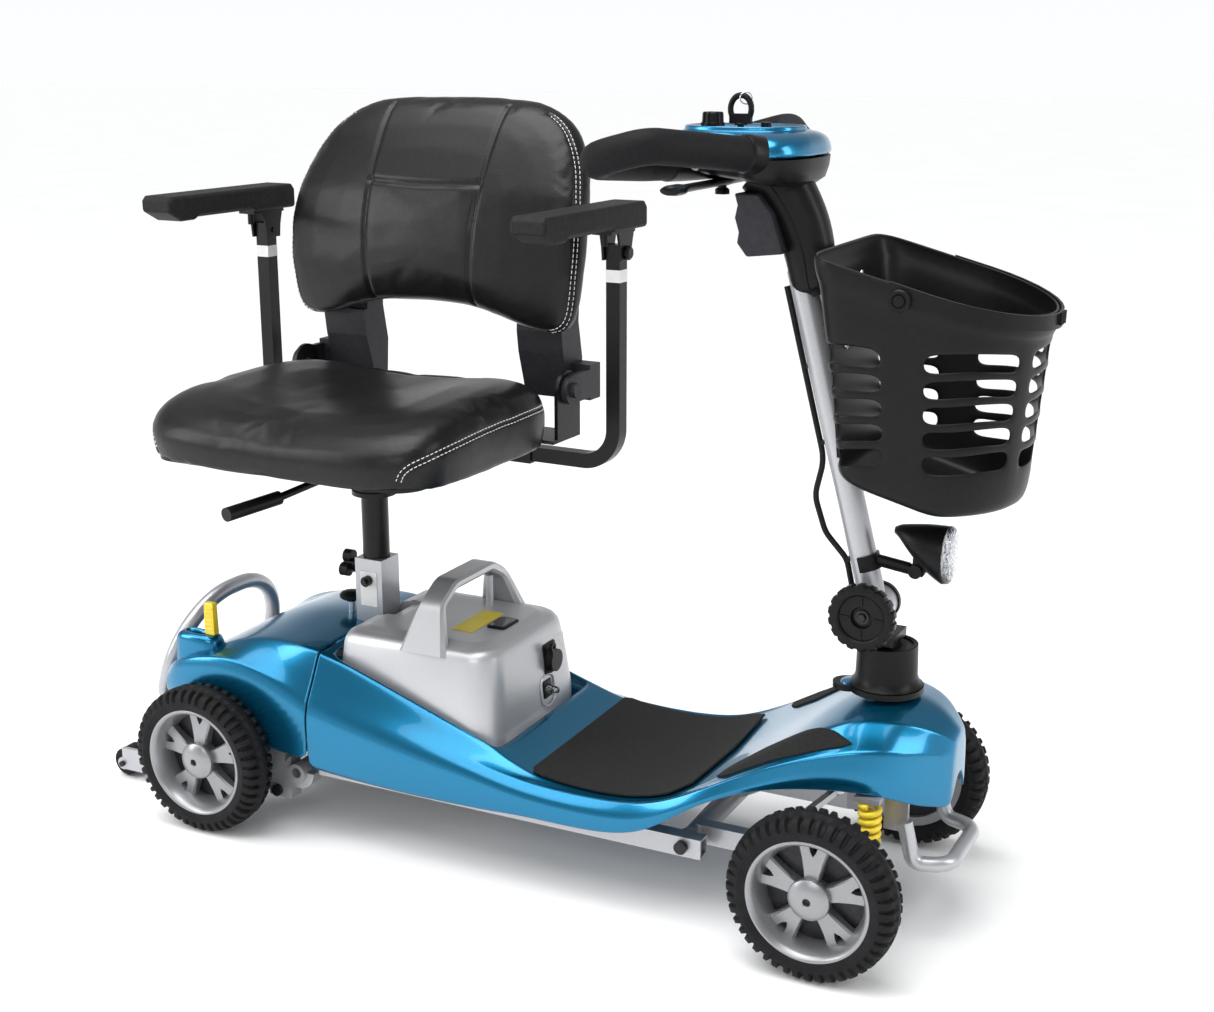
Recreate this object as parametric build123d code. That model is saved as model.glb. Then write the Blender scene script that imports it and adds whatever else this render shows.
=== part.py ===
from build123d import *
import math
import os

# Compact four-wheel mobility scooter.  Millimetres, +X forward, +Y to the
# rider's left, +Z up.  Origin: on the ground, under the middle of the rear axle.

os.makedirs("parts", exist_ok=True)

# ---- driving dimensions -------------------------------------------------
TYRE_R = 100.0          # 200 x 50 mm tyres
TYRE_W = 50.0
RIM_R = 71.0
RIM_W = 44.0
AXLE_Z = TYRE_R
WHEELBASE = 850.0
REAR_Y = 192.5          # wheel centre planes
FRONT_Y = 190.0
SHAFT_R = 8.5           # rear half shafts
STUB_R = 6.0            # front stub axles
RUN = 0.05              # radial running clearance
GAP = 0.3               # clearance between moving bodies

RAIL_Y = 120.0          # front frame side rails
RAIL_W = 20.0
RAIL_Z0 = 77.0
RAIL_Z1 = 102.0
RAIL_END_X = 688.0
COUPLING_X = 109.0      # where the front frame hooks into the rear frame
COUPLING_Z = 77.0
COUPLING_R = 12.5

SWING_X = 664.0         # front suspension pivot
SWING_Z = 90.0
KINGPIN_Y = 138.0
KINGPIN_R = 7.0
CRANK = 55.0            # steering cranks, all equal and parallel
STEER_X = 866.0         # steering column axis
HEAD_Z0 = 166.0
HEAD_Z1 = 276.0
COLUMN_R = 15.0
SPRING_X = 886.0
SPRING_Y = 108.0
SPRING_Z0 = 132.0
SPRING_Z1 = 187.0

PIVOT_X = 848.0         # tiller tilt pivot
PIVOT_Z = 380.0
LEAN = 15.0             # tiller leans back by this angle
TUBE_R = 15.9
TUBE_TOP = 400.0        # along the tube from the pivot

POST_X = 154.0          # seat post and swivel axis
SOCKET_W = 42.0
SOCKET_TOP = 347.0
POST_R = 15.0
SEAT_TURN = -92.0       # the seat faces the rider's right
SEAT_Z = 440.0
ARM_V = 285.0
ARM_U = -150.0
ARM_Z = 476.0
ARM_PIVOT_Z = 754.0
BACK_HINGE_U = -140.0
BACK_HINGE_Z = 570.0

COVER_T = 3.0           # moulded cover wall


# ---- helpers ------------------------------------------------------------
def block(x0, x1, y0, y1, z0, z1):
    """A box from its two corners."""
    centre = ((x0 + x1) / 2, (y0 + y1) / 2, (z0 + z1) / 2)
    return Pos(*centre) * Box(abs(x1 - x0), abs(y1 - y0), abs(z1 - z0))


def rod_z(x, y, z0, z1, r):
    return Pos(x, y, (z0 + z1) / 2) * Cylinder(r, z1 - z0)


def rod_y(x, z, y0, y1, r):
    return Pos(x, (y0 + y1) / 2, z) * Rot(90, 0, 0) * Cylinder(r, abs(y1 - y0))


def rod_x(y, z, x0, x1, r):
    return Pos((x0 + x1) / 2, y, z) * Rot(0, 90, 0) * Cylinder(r, abs(x1 - x0))


def rod(start, end, r):
    """A round rod between two points."""
    a, b = Vector(*start), Vector(*end)
    plane = Plane(origin=a, z_dir=b - a)
    return extrude(plane * Circle(r), amount=(b - a).length)


def bent_tube(points, bend, r, bore=0.0):
    """A round tube along straight runs joined by arcs of radius bend."""
    path = FilletPolyline(*points, radius=bend)
    plane = Plane(origin=path @ 0, z_dir=path % 0)
    tube = sweep(plane * Circle(r), path=path)
    if bore:
        tube -= sweep(plane * Circle(bore), path=path)
    return tube


def prism_y(points, y0, y1):
    """A side-view outline of (x, z) points, stretched from y0 to y1."""
    face = Plane.XZ * make_face(Polyline(*points, close=True))
    return Pos(0, y1, 0) * extrude(face, amount=y1 - y0)


def rounded_prism(w, d, h, r):
    """A block centred in plan, standing on z = 0, with round vertical edges."""
    return extrude(RectangleRounded(w, d, r), amount=h)


def loft_rings(rings):
    """A straight-sided loft through closed rings of (x, y, z) points."""
    wires = [Wire.make_polygon([Vector(*p) for p in ring], close=True) for ring in rings]
    return Part() + Solid.make_loft(wires, ruled=True)


def save(shape, name):
    export_step(Compound(children=list(shape.solids())), f"parts/{name}.step")


# ---- wheels -------------------------------------------------------------
def tyre(y, s):
    """Solid tyre with rounded tread and sidewalls, revolved about the axle."""
    half = TYRE_W / 2
    with BuildSketch(Plane.XZ) as ring:
        with BuildLine():
            Polyline((RIM_R, -RIM_W / 2), (RIM_R + 12, -half), (TYRE_R - 13, -half))
            Line((TYRE_R - 13, -half), (TYRE_R - 4, -half + 8))
            ThreePointArc((TYRE_R - 4, -half + 8), (TYRE_R, 0), (TYRE_R - 4, half - 8))
            Polyline((TYRE_R - 4, half - 8), (TYRE_R - 13, half), (RIM_R + 12, half),
                     (RIM_R, RIM_W / 2))
            Line((RIM_R, RIM_W / 2), (RIM_R, -RIM_W / 2))
        make_face()
    spun = revolve(ring.sketch, axis=Axis.Z, revolution_arc=360)
    return Pos(0, y, AXLE_Z) * Rot(90, 0, 0) * spun


SPOKES = 5


def rim(y, s, bore_r):
    """Five-spoke moulded rim with its hub and domed cap, outer face towards s."""
    band = Cylinder(RIM_R, RIM_W) - Cylinder(RIM_R - 9, RIM_W)
    hub = Pos(0, 0, -3) * Cylinder(19, 34)
    web = Pos(0, 0, 5) * Cylinder(RIM_R - 8.5, 8)
    window = extrude(make_face(Polyline((23, -5), (61, -20), (61, 20), (23, 5), close=True)), 40)
    for i in range(SPOKES):
        web -= Rot(0, 0, (i + 0.5) * 360 / SPOKES) * Pos(0, 0, -20) * window
    cap = Pos(0, 0, 14) * Cone(21, 14, 8, align=(Align.CENTER, Align.CENTER, Align.MIN))
    wheel = band + web + hub + Pos(0, 0, 10) * Cylinder(21, 10) + cap
    wheel -= Pos(0, 0, -12) * Cylinder(bore_r, 50)
    return Pos(0, y, AXLE_Z) * Rot(-90 * s, 0, 0) * wheel


def half_shaft(s):
    """Rear drive shaft, keyed into its rim and turning in the axle bearings."""
    return rod_y(0, AXLE_Z, s * 32, s * (REAR_Y + 13), SHAFT_R)


for side, s in (("left", 1), ("right", -1)):
    save(tyre(s * REAR_Y, s), f"tyre_rear_{side}")
    save(Pos(WHEELBASE, 0, 0) * tyre(s * FRONT_Y, s), f"tyre_front_{side}")
    save(rim(s * REAR_Y, s, SHAFT_R), f"rim_rear_{side}")
    save(Pos(WHEELBASE, 0, 0) * rim(s * FRONT_Y, s, STUB_R + RUN), f"rim_front_{side}")
    save(half_shaft(s), f"half_shaft_{side}")

# ---- rear frame, drive and anti-tip wheels ------------------------------
REAR_RAIL_Y = 88.0
REAR_RAIL_Z = 128.0
TIP_X = -207.0
TIP_Z = 23.0
TIP_Y = 105.0
TIP_R = 20.0


def cradle(s):
    """Upward-opening hook that carries the front frame's end tube."""
    y0, y1 = s * 112, s * 134
    hook = rod_y(COUPLING_X, COUPLING_Z, y0, y1, COUPLING_R + 11)
    hook -= rod_y(COUPLING_X, COUPLING_Z, y0 * 0.9, y1 * 1.1, COUPLING_R + GAP)
    mouth = COUPLING_R + GAP
    hook -= block(COUPLING_X - mouth, COUPLING_X + 60, y0 * 0.9, y1 * 1.1,
                  COUPLING_Z, COUPLING_Z + 40)
    lug = prism_y([(COUPLING_X - 14, COUPLING_Z - 18), (COUPLING_X - 14, COUPLING_Z - 42),
                   (COUPLING_X - 50, COUPLING_Z - 42), (COUPLING_X - 56, COUPLING_Z + 8),
                   (COUPLING_X - 20, COUPLING_Z + 8)], min(y0, y1), max(y0, y1))
    lug -= rod_y(COUPLING_X, COUPLING_Z, y0 * 0.9, y1 * 1.1, COUPLING_R + 10)
    lug -= rod_y(COUPLING_X - 36, COUPLING_Z - 33, y0 * 0.9, y1 * 1.1, 5)
    arm = block(COUPLING_X - 56, COUPLING_X - 22, s * 78, s * 134,
                COUPLING_Z + 6, COUPLING_Z + 26)
    post = block(COUPLING_X - 56, COUPLING_X - 24, s * 78, s * 98, COUPLING_Z + 24, REAR_RAIL_Z)
    return hook + lug + arm + post


def anti_tip_fork(s):
    """Fork that holds a small anti-tip wheel behind each rear wheel."""
    arm = block(-100, -84, s * (TIP_Y - 9), s * (TIP_Y + 9), 60, REAR_RAIL_Z + 10)
    arm += rod((-92, s * TIP_Y, 66), (-176, s * TIP_Y, 40), 9)
    arm += block(-182, -168, s * (TIP_Y - 20), s * (TIP_Y + 20), 30, 48)
    for y in (TIP_Y - 17, TIP_Y + 17):
        arm += block(TIP_X, -170, s * (y - 3), s * (y + 3), TIP_Z - 8, TIP_Z + 24)
        arm += rod_y(TIP_X, TIP_Z, s * (y - 3), s * (y + 3), 9)
    return arm


rear_frame = Part()
for s in (1, -1):
    rear_frame += block(-100, 162, s * (REAR_RAIL_Y - 10), s * (REAR_RAIL_Y + 10),
                        REAR_RAIL_Z, REAR_RAIL_Z + 20)
    rear_frame += cradle(s)
    rear_frame += anti_tip_fork(s)
    # bearing block hanging under the rail around the half shaft
    rear_frame += block(-20, 20, s * 80, s * 100, AXLE_Z - 20, REAR_RAIL_Z)
    rear_frame -= rod_y(0, AXLE_Z, s * 78, s * 102, SHAFT_R + 5)
for x in (-90, 148):
    rear_frame += block(x - 14, x + 14, -REAR_RAIL_Y, REAR_RAIL_Y, REAR_RAIL_Z, REAR_RAIL_Z + 20)
socket_in = SOCKET_W / 2 - 3
rear_frame += block(POST_X - SOCKET_W / 2, POST_X + SOCKET_W / 2,
                    -SOCKET_W / 2, SOCKET_W / 2, REAR_RAIL_Z, SOCKET_TOP)
rear_frame -= block(POST_X - socket_in, POST_X + socket_in, -socket_in, socket_in,
                    150, SOCKET_TOP - 30)
rear_frame -= rod_z(POST_X, 0, 140, SOCKET_TOP + 1, POST_R + RUN)
rear_frame -= rod_x(0, 330, 120, POST_X, 4 + RUN)
rear_frame -= rod_y(POST_X, 318, -30, -10, 4)

# tubular loop behind the rear cover
LOOP_Y = 115.0
loop_points = [(-88, -LOOP_Y, 132), (-136, -LOOP_Y, 118), (-90, -LOOP_Y, 270),
               (-90, LOOP_Y, 270), (-136, LOOP_Y, 118), (-88, LOOP_Y, 132)]
rear_frame += bent_tube(loop_points, [20, 106, 106, 20], 11)

tip_wheels = Part()
for s in (1, -1):
    tip_wheels += rod_y(TIP_X, TIP_Z, s * (TIP_Y - 13), s * (TIP_Y + 13), TIP_R)

transaxle = block(-48, 48, -26, 26, 56, 150)
transaxle = fillet(transaxle.edges().filter_by(Axis.Y), 16)
transaxle += block(30, 62, -26, 26, 130, 196)
for s in (1, -1):
    transaxle += rod_y(0, AXLE_Z, s * 24, s * 74, 24)
    transaxle -= rod_y(0, AXLE_Z, s * 30, s * 80, SHAFT_R + 5)
save(transaxle, "transaxle_case")

motor = rod_y(46, 168, -26, -128, 32) + rod_y(46, 168, -128, -134, 20)
motor = motor - block(0, 100, -140, -20, 100, 149.0)
save(motor, "drive_motor")

controller = block(-80, -50, -60, 60, 150, 196) + block(-50, -44, -52, 52, 154, 192)
save(controller, "controller")

bearings = Part()
for s in (1, -1):
    for y0, y1 in ((34, 46), (60, 72), (84, 96)):
        bearings += rod_y(0, AXLE_Z, s * y0, s * y1, SHAFT_R + 5) - rod_y(
            0, AXLE_Z, s * y0, s * y1, SHAFT_R + RUN)
for z0 in (HEAD_Z0, HEAD_Z1 - 16):
    bearings += rod_z(STEER_X, 0, z0, z0 + 16, COLUMN_R + 5) - rod_z(
        STEER_X, 0, z0, z0 + 16, COLUMN_R + RUN)
save(bearings, "shaft_bearings")

# ---- front frame --------------------------------------------------------
front_frame = rod_y(COUPLING_X, COUPLING_Z, -140, 140, COUPLING_R)
front_frame -= rod_y(COUPLING_X, COUPLING_Z, -141, 141, 7)
for s in (1, -1):
    inner, outer = s * (RAIL_Y - RAIL_W / 2), s * (RAIL_Y + RAIL_W / 2)
    front_frame += block(COUPLING_X + 30, RAIL_END_X, inner, outer, RAIL_Z0, RAIL_Z1)
    front_frame += block(COUPLING_X + 4, COUPLING_X + 34, s * 84, s * 110,
                         COUPLING_Z - 8, COUPLING_Z + 8)
    front_frame += block(COUPLING_X + 26, COUPLING_X + 60, s * 84, s * 112, RAIL_Z0, RAIL_Z1)
    front_frame -= block(RAIL_END_X - 60, RAIL_END_X + 1, s * (RAIL_Y - RAIL_W / 2 + 3),
                         s * (RAIL_Y + RAIL_W / 2 - 3), RAIL_Z0 + 3, RAIL_Z1 - 3)
    front_frame += rod_y(SWING_X, SWING_Z, s * 108, s * 126, 9)
for x in (200, 400, 560):
    front_frame += block(x - 15, x + 15, -RAIL_Y, RAIL_Y, RAIL_Z0 + 5, RAIL_Z1)
TRAY_Z = RAIL_Z1 + 3
front_frame += block(186, 408, -124, 124, RAIL_Z1, TRAY_Z)
# spine that climbs over the swing frame to the steering head
front_frame += prism_y([(545, 92), (575, 92), (610, 112), (700, 118), (790, 168), (845, 186),
                        (845, 226), (770, 200), (690, 146), (600, 132), (545, 102)], -26, 26)
front_frame += rod_z(STEER_X, 0, HEAD_Z0, HEAD_Z1, 26)
front_frame -= rod_z(STEER_X, 0, HEAD_Z0 - 1, HEAD_Z1 + 1, COLUMN_R + 2)
for z0 in (HEAD_Z0, HEAD_Z1 - 16):
    front_frame -= rod_z(STEER_X, 0, z0, z0 + 16, COLUMN_R + 5)
# cross beam with the two spring seats
beam = block(SPRING_X - 16, SPRING_X + 14, -SPRING_Y - 12, SPRING_Y + 12, SPRING_Z1, SPRING_Z1 + 6)
beam += block(SPRING_X - 4, SPRING_X + 4, -SPRING_Y + 12, SPRING_Y - 12, SPRING_Z1, SPRING_Z1 + 18)
front_frame += beam - rod_z(STEER_X, 0, HEAD_Z0, HEAD_Z1, 24)
# tubular front bumper on two drop plates
for s in (1, -1):
    front_frame += block(SPRING_X + 6, SPRING_X + 34, s * 66, s * 72, 138, SPRING_Z1 + 4)
bumper = [(SPRING_X + 30, -69, 150), (928, -69, 100), (968, -55, 100), (968, 55, 100),
          (928, 69, 100), (SPRING_X + 30, 69, 150)]
front_frame += bent_tube(bumper, [14, 28, 28, 14], 9)

springs = Part()
for s in (1, -1):
    wire = 3.2
    helix = Helix(pitch=10.2, height=SPRING_Z1 - SPRING_Z0 - 2 * wire - 2, radius=11)
    coil = sweep(Plane(origin=helix @ 0, z_dir=helix % 0) * Circle(wire), path=helix)
    springs += Pos(SPRING_X, s * SPRING_Y, SPRING_Z0 + wire + 1) * coil
save(springs, "suspension_springs")

bolts = Part()
for s in (1, -1):
    bolts += rod_y(SWING_X, SWING_Z, s * 60, s * 134, 5) + rod_y(SWING_X, SWING_Z, s * 130.2, s * 137, 8)
    bolts += rod_y(COUPLING_X - 36, COUPLING_Z - 33, s * 108, s * 138, 5)
    bolts += rod_y(COUPLING_X - 36, COUPLING_Z - 33, s * 134.2, s * 139, 8)
    bolts += rod_y(TIP_X, TIP_Z, s * (TIP_Y - 23), s * (TIP_Y + 24), 4)
bolts += rod_y(POST_X, 318, -34, -22.5, 4) + rod_y(POST_X, 318, -30, -21.2, 7)
for s in (1, -1):
    front_frame -= rod_y(SWING_X, SWING_Z, s * 100, s * 131, 5)
    rear_frame -= rod_y(TIP_X, TIP_Z, s * (TIP_Y - 24), s * (TIP_Y + 24), 4)
    tip_wheels -= rod_y(TIP_X, TIP_Z, s * (TIP_Y - 24), s * (TIP_Y + 24), 4 + RUN)
save(front_frame, "front_frame")
save(rear_frame, "rear_frame")
save(tip_wheels, "anti_tip_wheels")
save(bolts, "frame_bolts")

# ---- front suspension and steering knuckles -----------------------------
swing = rod_y(SWING_X, SWING_Z, -106, 106, 14)
for s in (1, -1):
    swing += block(SWING_X, 800, s * 76, s * 94, 80, 104)
    plan = [(780, 76), (780, 94), (800, 94), (832, 132), (850, 132), (850, 112), (866, 104),
            (866, 92), (800, 76)]
    web = extrude(make_face(Polyline(*[(x, s * y) for x, y in plan], close=True)), amount=24)
    swing += Pos(0, 0, 80) * web
    swing += rod_z(WHEELBASE, s * KINGPIN_Y, 80, 120, 13)
    swing += block(856, SPRING_X + 16, s * 92, s * 122, 104, 112)
    swing += block(858, 868, s * 92, s * 106, 80, 106)
    swing += rod_z(SPRING_X, s * SPRING_Y, 110, SPRING_Z0, 14)
    swing -= rod_z(WHEELBASE, s * KINGPIN_Y, 79, 121, KINGPIN_R + RUN)
swing -= rod_y(SWING_X, SWING_Z, -107, 107, 5 + RUN)
save(swing, "swing_frame")


def knuckle(s):
    """Stub axle carrier that turns about the kingpin and carries a steering crank."""
    y = s * KINGPIN_Y
    ears = Part()
    for z0, z1 in ((72, 80 - GAP), (120 + GAP, 128)):
        ears += rod_z(WHEELBASE, y, z0, z1, 12)
        ears += block(WHEELBASE - 12, WHEELBASE + 12, y, s * 161, z0, z1)
    ears += block(WHEELBASE - 12, WHEELBASE + 12, s * 154, s * 161, 72, 128)
    ears += rod_z(WHEELBASE, y, 72, 128, KINGPIN_R)
    ears += rod_y(WHEELBASE, AXLE_Z, s * 158, s * (FRONT_Y + 13), STUB_R)
    crank = block(WHEELBASE - CRANK, WHEELBASE, y - 7, y + 7, 122, 128)
    crank += rod_z(WHEELBASE - CRANK, y, 122, 128, 7)
    pin = rod_z(WHEELBASE - CRANK, y, 122, 156, 4)
    return ears + crank + pin


save(knuckle(1), "knuckle_left")
save(knuckle(-1), "knuckle_right")

ROD_Z0 = 138.0
ROD_Z1 = 146.0
knuckle_pin_x = WHEELBASE - CRANK
column_pin_x = STEER_X - CRANK
track_plan = [(column_pin_x + 4, -16), (knuckle_pin_x + 4, -130), (knuckle_pin_x - 4, -130),
              (column_pin_x - 4, -16), (column_pin_x - 4, 16), (knuckle_pin_x - 4, 130),
              (knuckle_pin_x + 4, 130), (column_pin_x + 4, 16)]
track = Pos(0, 0, ROD_Z0) * extrude(make_face(Polyline(*track_plan, close=True)),
                                    amount=ROD_Z1 - ROD_Z0)
track += rod_z(column_pin_x, 0, ROD_Z0, ROD_Z1, 10)
for s in (1, -1):
    track += rod_z(knuckle_pin_x, s * KINGPIN_Y, ROD_Z0, ROD_Z1, 10)
    track -= rod_z(knuckle_pin_x, s * KINGPIN_Y, ROD_Z0 - 1, ROD_Z1 + 1, 6)
track -= rod_z(column_pin_x, 0, ROD_Z0 - 1, ROD_Z1 + 1, 4 + RUN)
save(track, "track_rod")

# ---- steering column ----------------------------------------------------
column = rod_z(STEER_X, 0, 149, 345, COLUMN_R)
column += rod_z(STEER_X, 0, 148, 160, 18)
column += block(column_pin_x - 8, STEER_X, -10, 10, 149, 158)
column += rod_z(column_pin_x, 0, 134, 152, 4)
column += block(PIVOT_X - 16, STEER_X + 14, -26, 26, 341, 352)
for s in (1, -1):
    column += block(PIVOT_X - 16, PIVOT_X + 16, s * 20, s * 26, 350, PIVOT_Z)
    column += rod_y(PIVOT_X, PIVOT_Z, s * 20, s * 26, 24)
column -= rod_y(PIVOT_X, PIVOT_Z, -30, 30, 6 + RUN)
save(column, "steering_column")

BOOT_Z0 = 281.0
BOOT_TOP = 338.0
TAB_X, TAB_Y = STEER_X - 42, -14.0
boot_base = rod_z(STEER_X, 0, BOOT_Z0, BOOT_Z0 + 7, 44)
boot_base += rod_z(TAB_X, TAB_Y, BOOT_Z0, BOOT_Z0 + 7, 18)
up_cone = (Align.CENTER, Align.CENTER, Align.MIN)
boot = boot_base + Pos(STEER_X, 0, BOOT_Z0) * Cone(37, 33, BOOT_TOP - BOOT_Z0, align=up_cone)
boot -= Pos(STEER_X, 0, BOOT_Z0 - 1) * Cone(34, 30, BOOT_TOP - BOOT_Z0 + 2, align=up_cone)
save(boot, "steering_boot")


# ---- tiller -------------------------------------------------------------
def along(w, u=0.0, y=0.0):
    """A point w up the tiller tube and u in front of its axis."""
    a = math.radians(LEAN)
    return (PIVOT_X - w * math.sin(a) + u * math.cos(a), y,
            PIVOT_Z + w * math.cos(a) + u * math.sin(a))


def tiller_part(shape):
    """Place a shape drawn on an upright tiller whose pivot is the origin."""
    return Pos(PIVOT_X, 0, PIVOT_Z) * Rot(0, -LEAN, 0) * shape


GRIP_R = 19.0
BAR_R = 11.0
GRIP_BEND = 30.0
THROTTLE_X = 647.0
THROTTLE_Z = 860.0


def grip_path(s):
    """Delta loop: out along the front bar, back round the end, and in again."""
    return [(724, s * 56, 893), (644, s * 212, 912), (574, s * 214, 891), (612, s * 60, 884)]


foam = Part()
bars = Part()
for s in (1, -1):
    foam += bent_tube(grip_path(s), GRIP_BEND, GRIP_R, BAR_R)
    bars += bent_tube(grip_path(s), GRIP_BEND, BAR_R)
save(foam, "hand_grips")

barrel = rod_y(0, 0, -19.5, 19.5, 22)
upright = barrel + rod_z(0, 0, 0, TUBE_TOP, TUBE_R)
upright -= rod_z(0, 0, 24, TUBE_TOP + 1, TUBE_R - 2.5)
upright -= rod_y(0, 0, -30, 30, 6 + RUN)
tube = tiller_part(upright)
tube += bars
for s in (1, -1):
    tube += rod((724, s * 58, 893), (704, 0, 890), BAR_R)
    tube += rod((612, s * 62, 884), (704, 0, 890), BAR_R)
tube += rod(along(TUBE_TOP - 6), (704, 0, 890), 14)
tube -= foam
save(tube, "tiller_tube")

# moulded neck over the top of the tube
neck_path = Spline((760, 0, 752), (744, 0, 818), (706, 0, 872),
                   tangents=((-0.22, 0, 0.97), (-0.66, 0, 0.75)))
stations = [(0.0, 52, 40), (0.35, 60, 52), (0.7, 66, 56), (1.0, 74, 60)]
faces = []
for t, depth, width in stations:
    plane = Plane(origin=neck_path @ t, x_dir=(0, 1, 0), z_dir=neck_path % t)
    faces.append(plane * Ellipse(width / 2, depth / 2))
neck = loft(faces)
neck -= rod(along(300), along(TUBE_TOP + 4), TUBE_R)
neck -= rod(along(TUBE_TOP - 6), (704, 0, 890), 14)
console_plan = [(742, 0), (736, 38), (716, 58), (660, 62), (612, 44), (600, 0),
                (612, -44), (660, -62), (716, -58), (736, -38)]
console_face = make_face(Polyline(*console_plan, close=True))
lower_block = Pos(0, 0, 872) * extrude(console_face, amount=20)
lower_block += rod_z(THROTTLE_X, 0, THROTTLE_Z - 10, 874, 5)
neck = neck - block(500, 900, -100, 100, 885, 960) + lower_block
neck -= tube
for s in (1, -1):
    neck -= bent_tube(grip_path(s), GRIP_BEND, GRIP_R)
save(neck, "tiller_shroud")

PANEL_Z = 892.0
cover_rings = []
for z, k in ((PANEL_Z, 1.0), (PANEL_Z + 14, 0.97), (PANEL_Z + 30, 0.8)):
    cover_rings.append([(670 + (x - 670) * k, y * k, z) for x, y in console_plan])
console = loft_rings(cover_rings)
console -= tube
for s in (1, -1):
    console -= bent_tube(grip_path(s), GRIP_BEND, GRIP_R)
DIAL_X, KEY_X, HORN_X = 640.0, 668.0, 690.0
PANEL_TOP = PANEL_Z + 30
console -= rod_z(DIAL_X, -14, PANEL_TOP - 8, PANEL_TOP + 1, 4 + RUN)
console -= rod_z(KEY_X, 0, PANEL_TOP - 14, PANEL_TOP + 1, 4 + RUN)
console -= rod_z(HORN_X, 22, PANEL_TOP - 8, PANEL_TOP + 1, 6 + RUN)
save(console, "console_cover")

save(rod_z(DIAL_X, -14, PANEL_TOP - 8, PANEL_TOP + GAP + 1, 4)
     + rod_z(DIAL_X, -14, PANEL_TOP + GAP, PANEL_TOP + 16, 12), "speed_dial")
key = rod_z(KEY_X, 0, PANEL_TOP - 14, PANEL_TOP + 2, 4) + block(
    KEY_X - 12, KEY_X + 12, -4, 4, PANEL_TOP + 1, PANEL_TOP + 14)
key += Pos(KEY_X, 0, PANEL_TOP + 22) * Rot(90, 0, 0) * (Cylinder(14, 6) - Cylinder(9, 7))
save(key, "ignition_key")
save(rod_z(HORN_X, 22, PANEL_TOP - 4, PANEL_TOP + 4, 6), "horn_button")

lever = rod_z(THROTTLE_X, 0, THROTTLE_Z - 6, THROTTLE_Z + 6, 12)
lever += block(THROTTLE_X - 6, THROTTLE_X + 6, -124, 124, THROTTLE_Z - 4, THROTTLE_Z + 4)
for s in (1, -1):
    lever += Pos(THROTTLE_X, s * 132, THROTTLE_Z) * Cylinder(13, 8)
lever -= rod_z(THROTTLE_X, 0, THROTTLE_Z - 8, THROTTLE_Z + 8, 5 + RUN)
save(lever, "throttle_lever")

pocket = prism_y([(693, 780), (739, 785), (706, 852), (676, 852)], -42, 42)
pocket -= neck + tube
pocket -= rod(along(290), along(TUBE_TOP + 20), 33)
save(pocket, "rear_pocket")

cable_points = [along(28, -22), along(60, -21), along(95, -40), along(140, -43),
                along(180, -22), along(384, -20.5)]
cable = bent_tube(cable_points, [30, 40, 40, 60], 3.5)
for w in (60, 200, 290):
    cable += tiller_part(Pos(-17.9, 0, w) * Box(4, 9, 5)) - tiller_part(rod_z(0, 0, 0, 400, TUBE_R))
cable -= neck
save(cable, "control_cable")

knob = Pos(0, 0, 0) * Cylinder(40, 16)
for i in range(12):
    knob -= Rot(0, 0, i * 30) * Pos(44, 0, 0) * Cylinder(7, 20)
knob += Pos(0, 0, -12) * Cylinder(18, 12)
knob -= Pos(0, 0, 6) * Cylinder(10, 8)
knob = Pos(PIVOT_X, -46, PIVOT_Z) * Rot(90, 0, 0) * knob
knob += rod_y(PIVOT_X, PIVOT_Z, -38, 34, 6) + rod_y(PIVOT_X, PIVOT_Z, 26.5, 38, 11)
save(knob, "tilt_knob")

# headlight on its ribbed arm
lamp_arm_w = 54.0
arm_start = along(lamp_arm_w, TUBE_R)
lamp_pivot = (896.0, 0.0, 430.0)
lamp_arm = rod(arm_start, lamp_pivot, 7)
lamp_arm += rod_y(lamp_pivot[0], lamp_pivot[2], -9, -5.3, 8)
lamp_arm += rod_y(lamp_pivot[0], lamp_pivot[2], 5.3, 9, 8)
lamp_arm -= block(lamp_pivot[0] - 8.5, lamp_pivot[0] + 20, -5.3, 5.3, 418, 442)
lamp_arm += rod_y(lamp_pivot[0], lamp_pivot[2], -9, 9, 3)
lamp_clamp = tiller_part(rod_z(0, 0, lamp_arm_w - 9, lamp_arm_w + 9, TUBE_R + 3))
lamp_clamp -= tiller_part(rod_z(0, 0, lamp_arm_w - 12, lamp_arm_w + 12, TUBE_R))
lamp_clamp -= tiller_part(block(-40, -2, -40, 40, 0, 120))
lamp_arm = lamp_arm - tiller_part(rod_z(0, 0, 0, 200, TUBE_R)) + lamp_clamp

LAMP_FRONT = 934.0
lamp_rings = []
for x, z0, z1, w in ((868, 468, 478, 8), (894, 444, 482, 24), (LAMP_FRONT - 6, 420, 486, 29)):
    mid, half = (z0 + z1) / 2, (z1 - z0) / 2
    ring = [(x, w * math.cos(a), mid + half * math.sin(a))
            for a in [math.radians(d) for d in range(0, 360, 30)]]
    lamp_rings.append(ring)
lamp = loft_rings(lamp_rings)
lamp -= block(lamp_pivot[0] - 14, lamp_pivot[0] + 12, -12, 12, 410, 446)
lamp += block(lamp_pivot[0] - 2.5, lamp_pivot[0] + 20, -5, 5, 424, 448)
lamp += rod_y(lamp_pivot[0], lamp_pivot[2], -5, 5, 7)
lamp -= rod_y(lamp_pivot[0], lamp_pivot[2], -12, 12, 3 + RUN)
save(lamp, "headlight_housing")
front_ring = lamp_rings[-1]
lens = loft_rings([[(LAMP_FRONT - 6, y, z) for _, y, z in front_ring],
                   [(LAMP_FRONT + 4, y * 0.93, 453 + (z - 453) * 0.93) for _, y, z in front_ring]])
save(lens, "headlight_lens")

# ---- basket -------------------------------------------------------------
BASKET_T = 3.2
BACK_TILT = math.degrees(math.atan2(28, 259))


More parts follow.
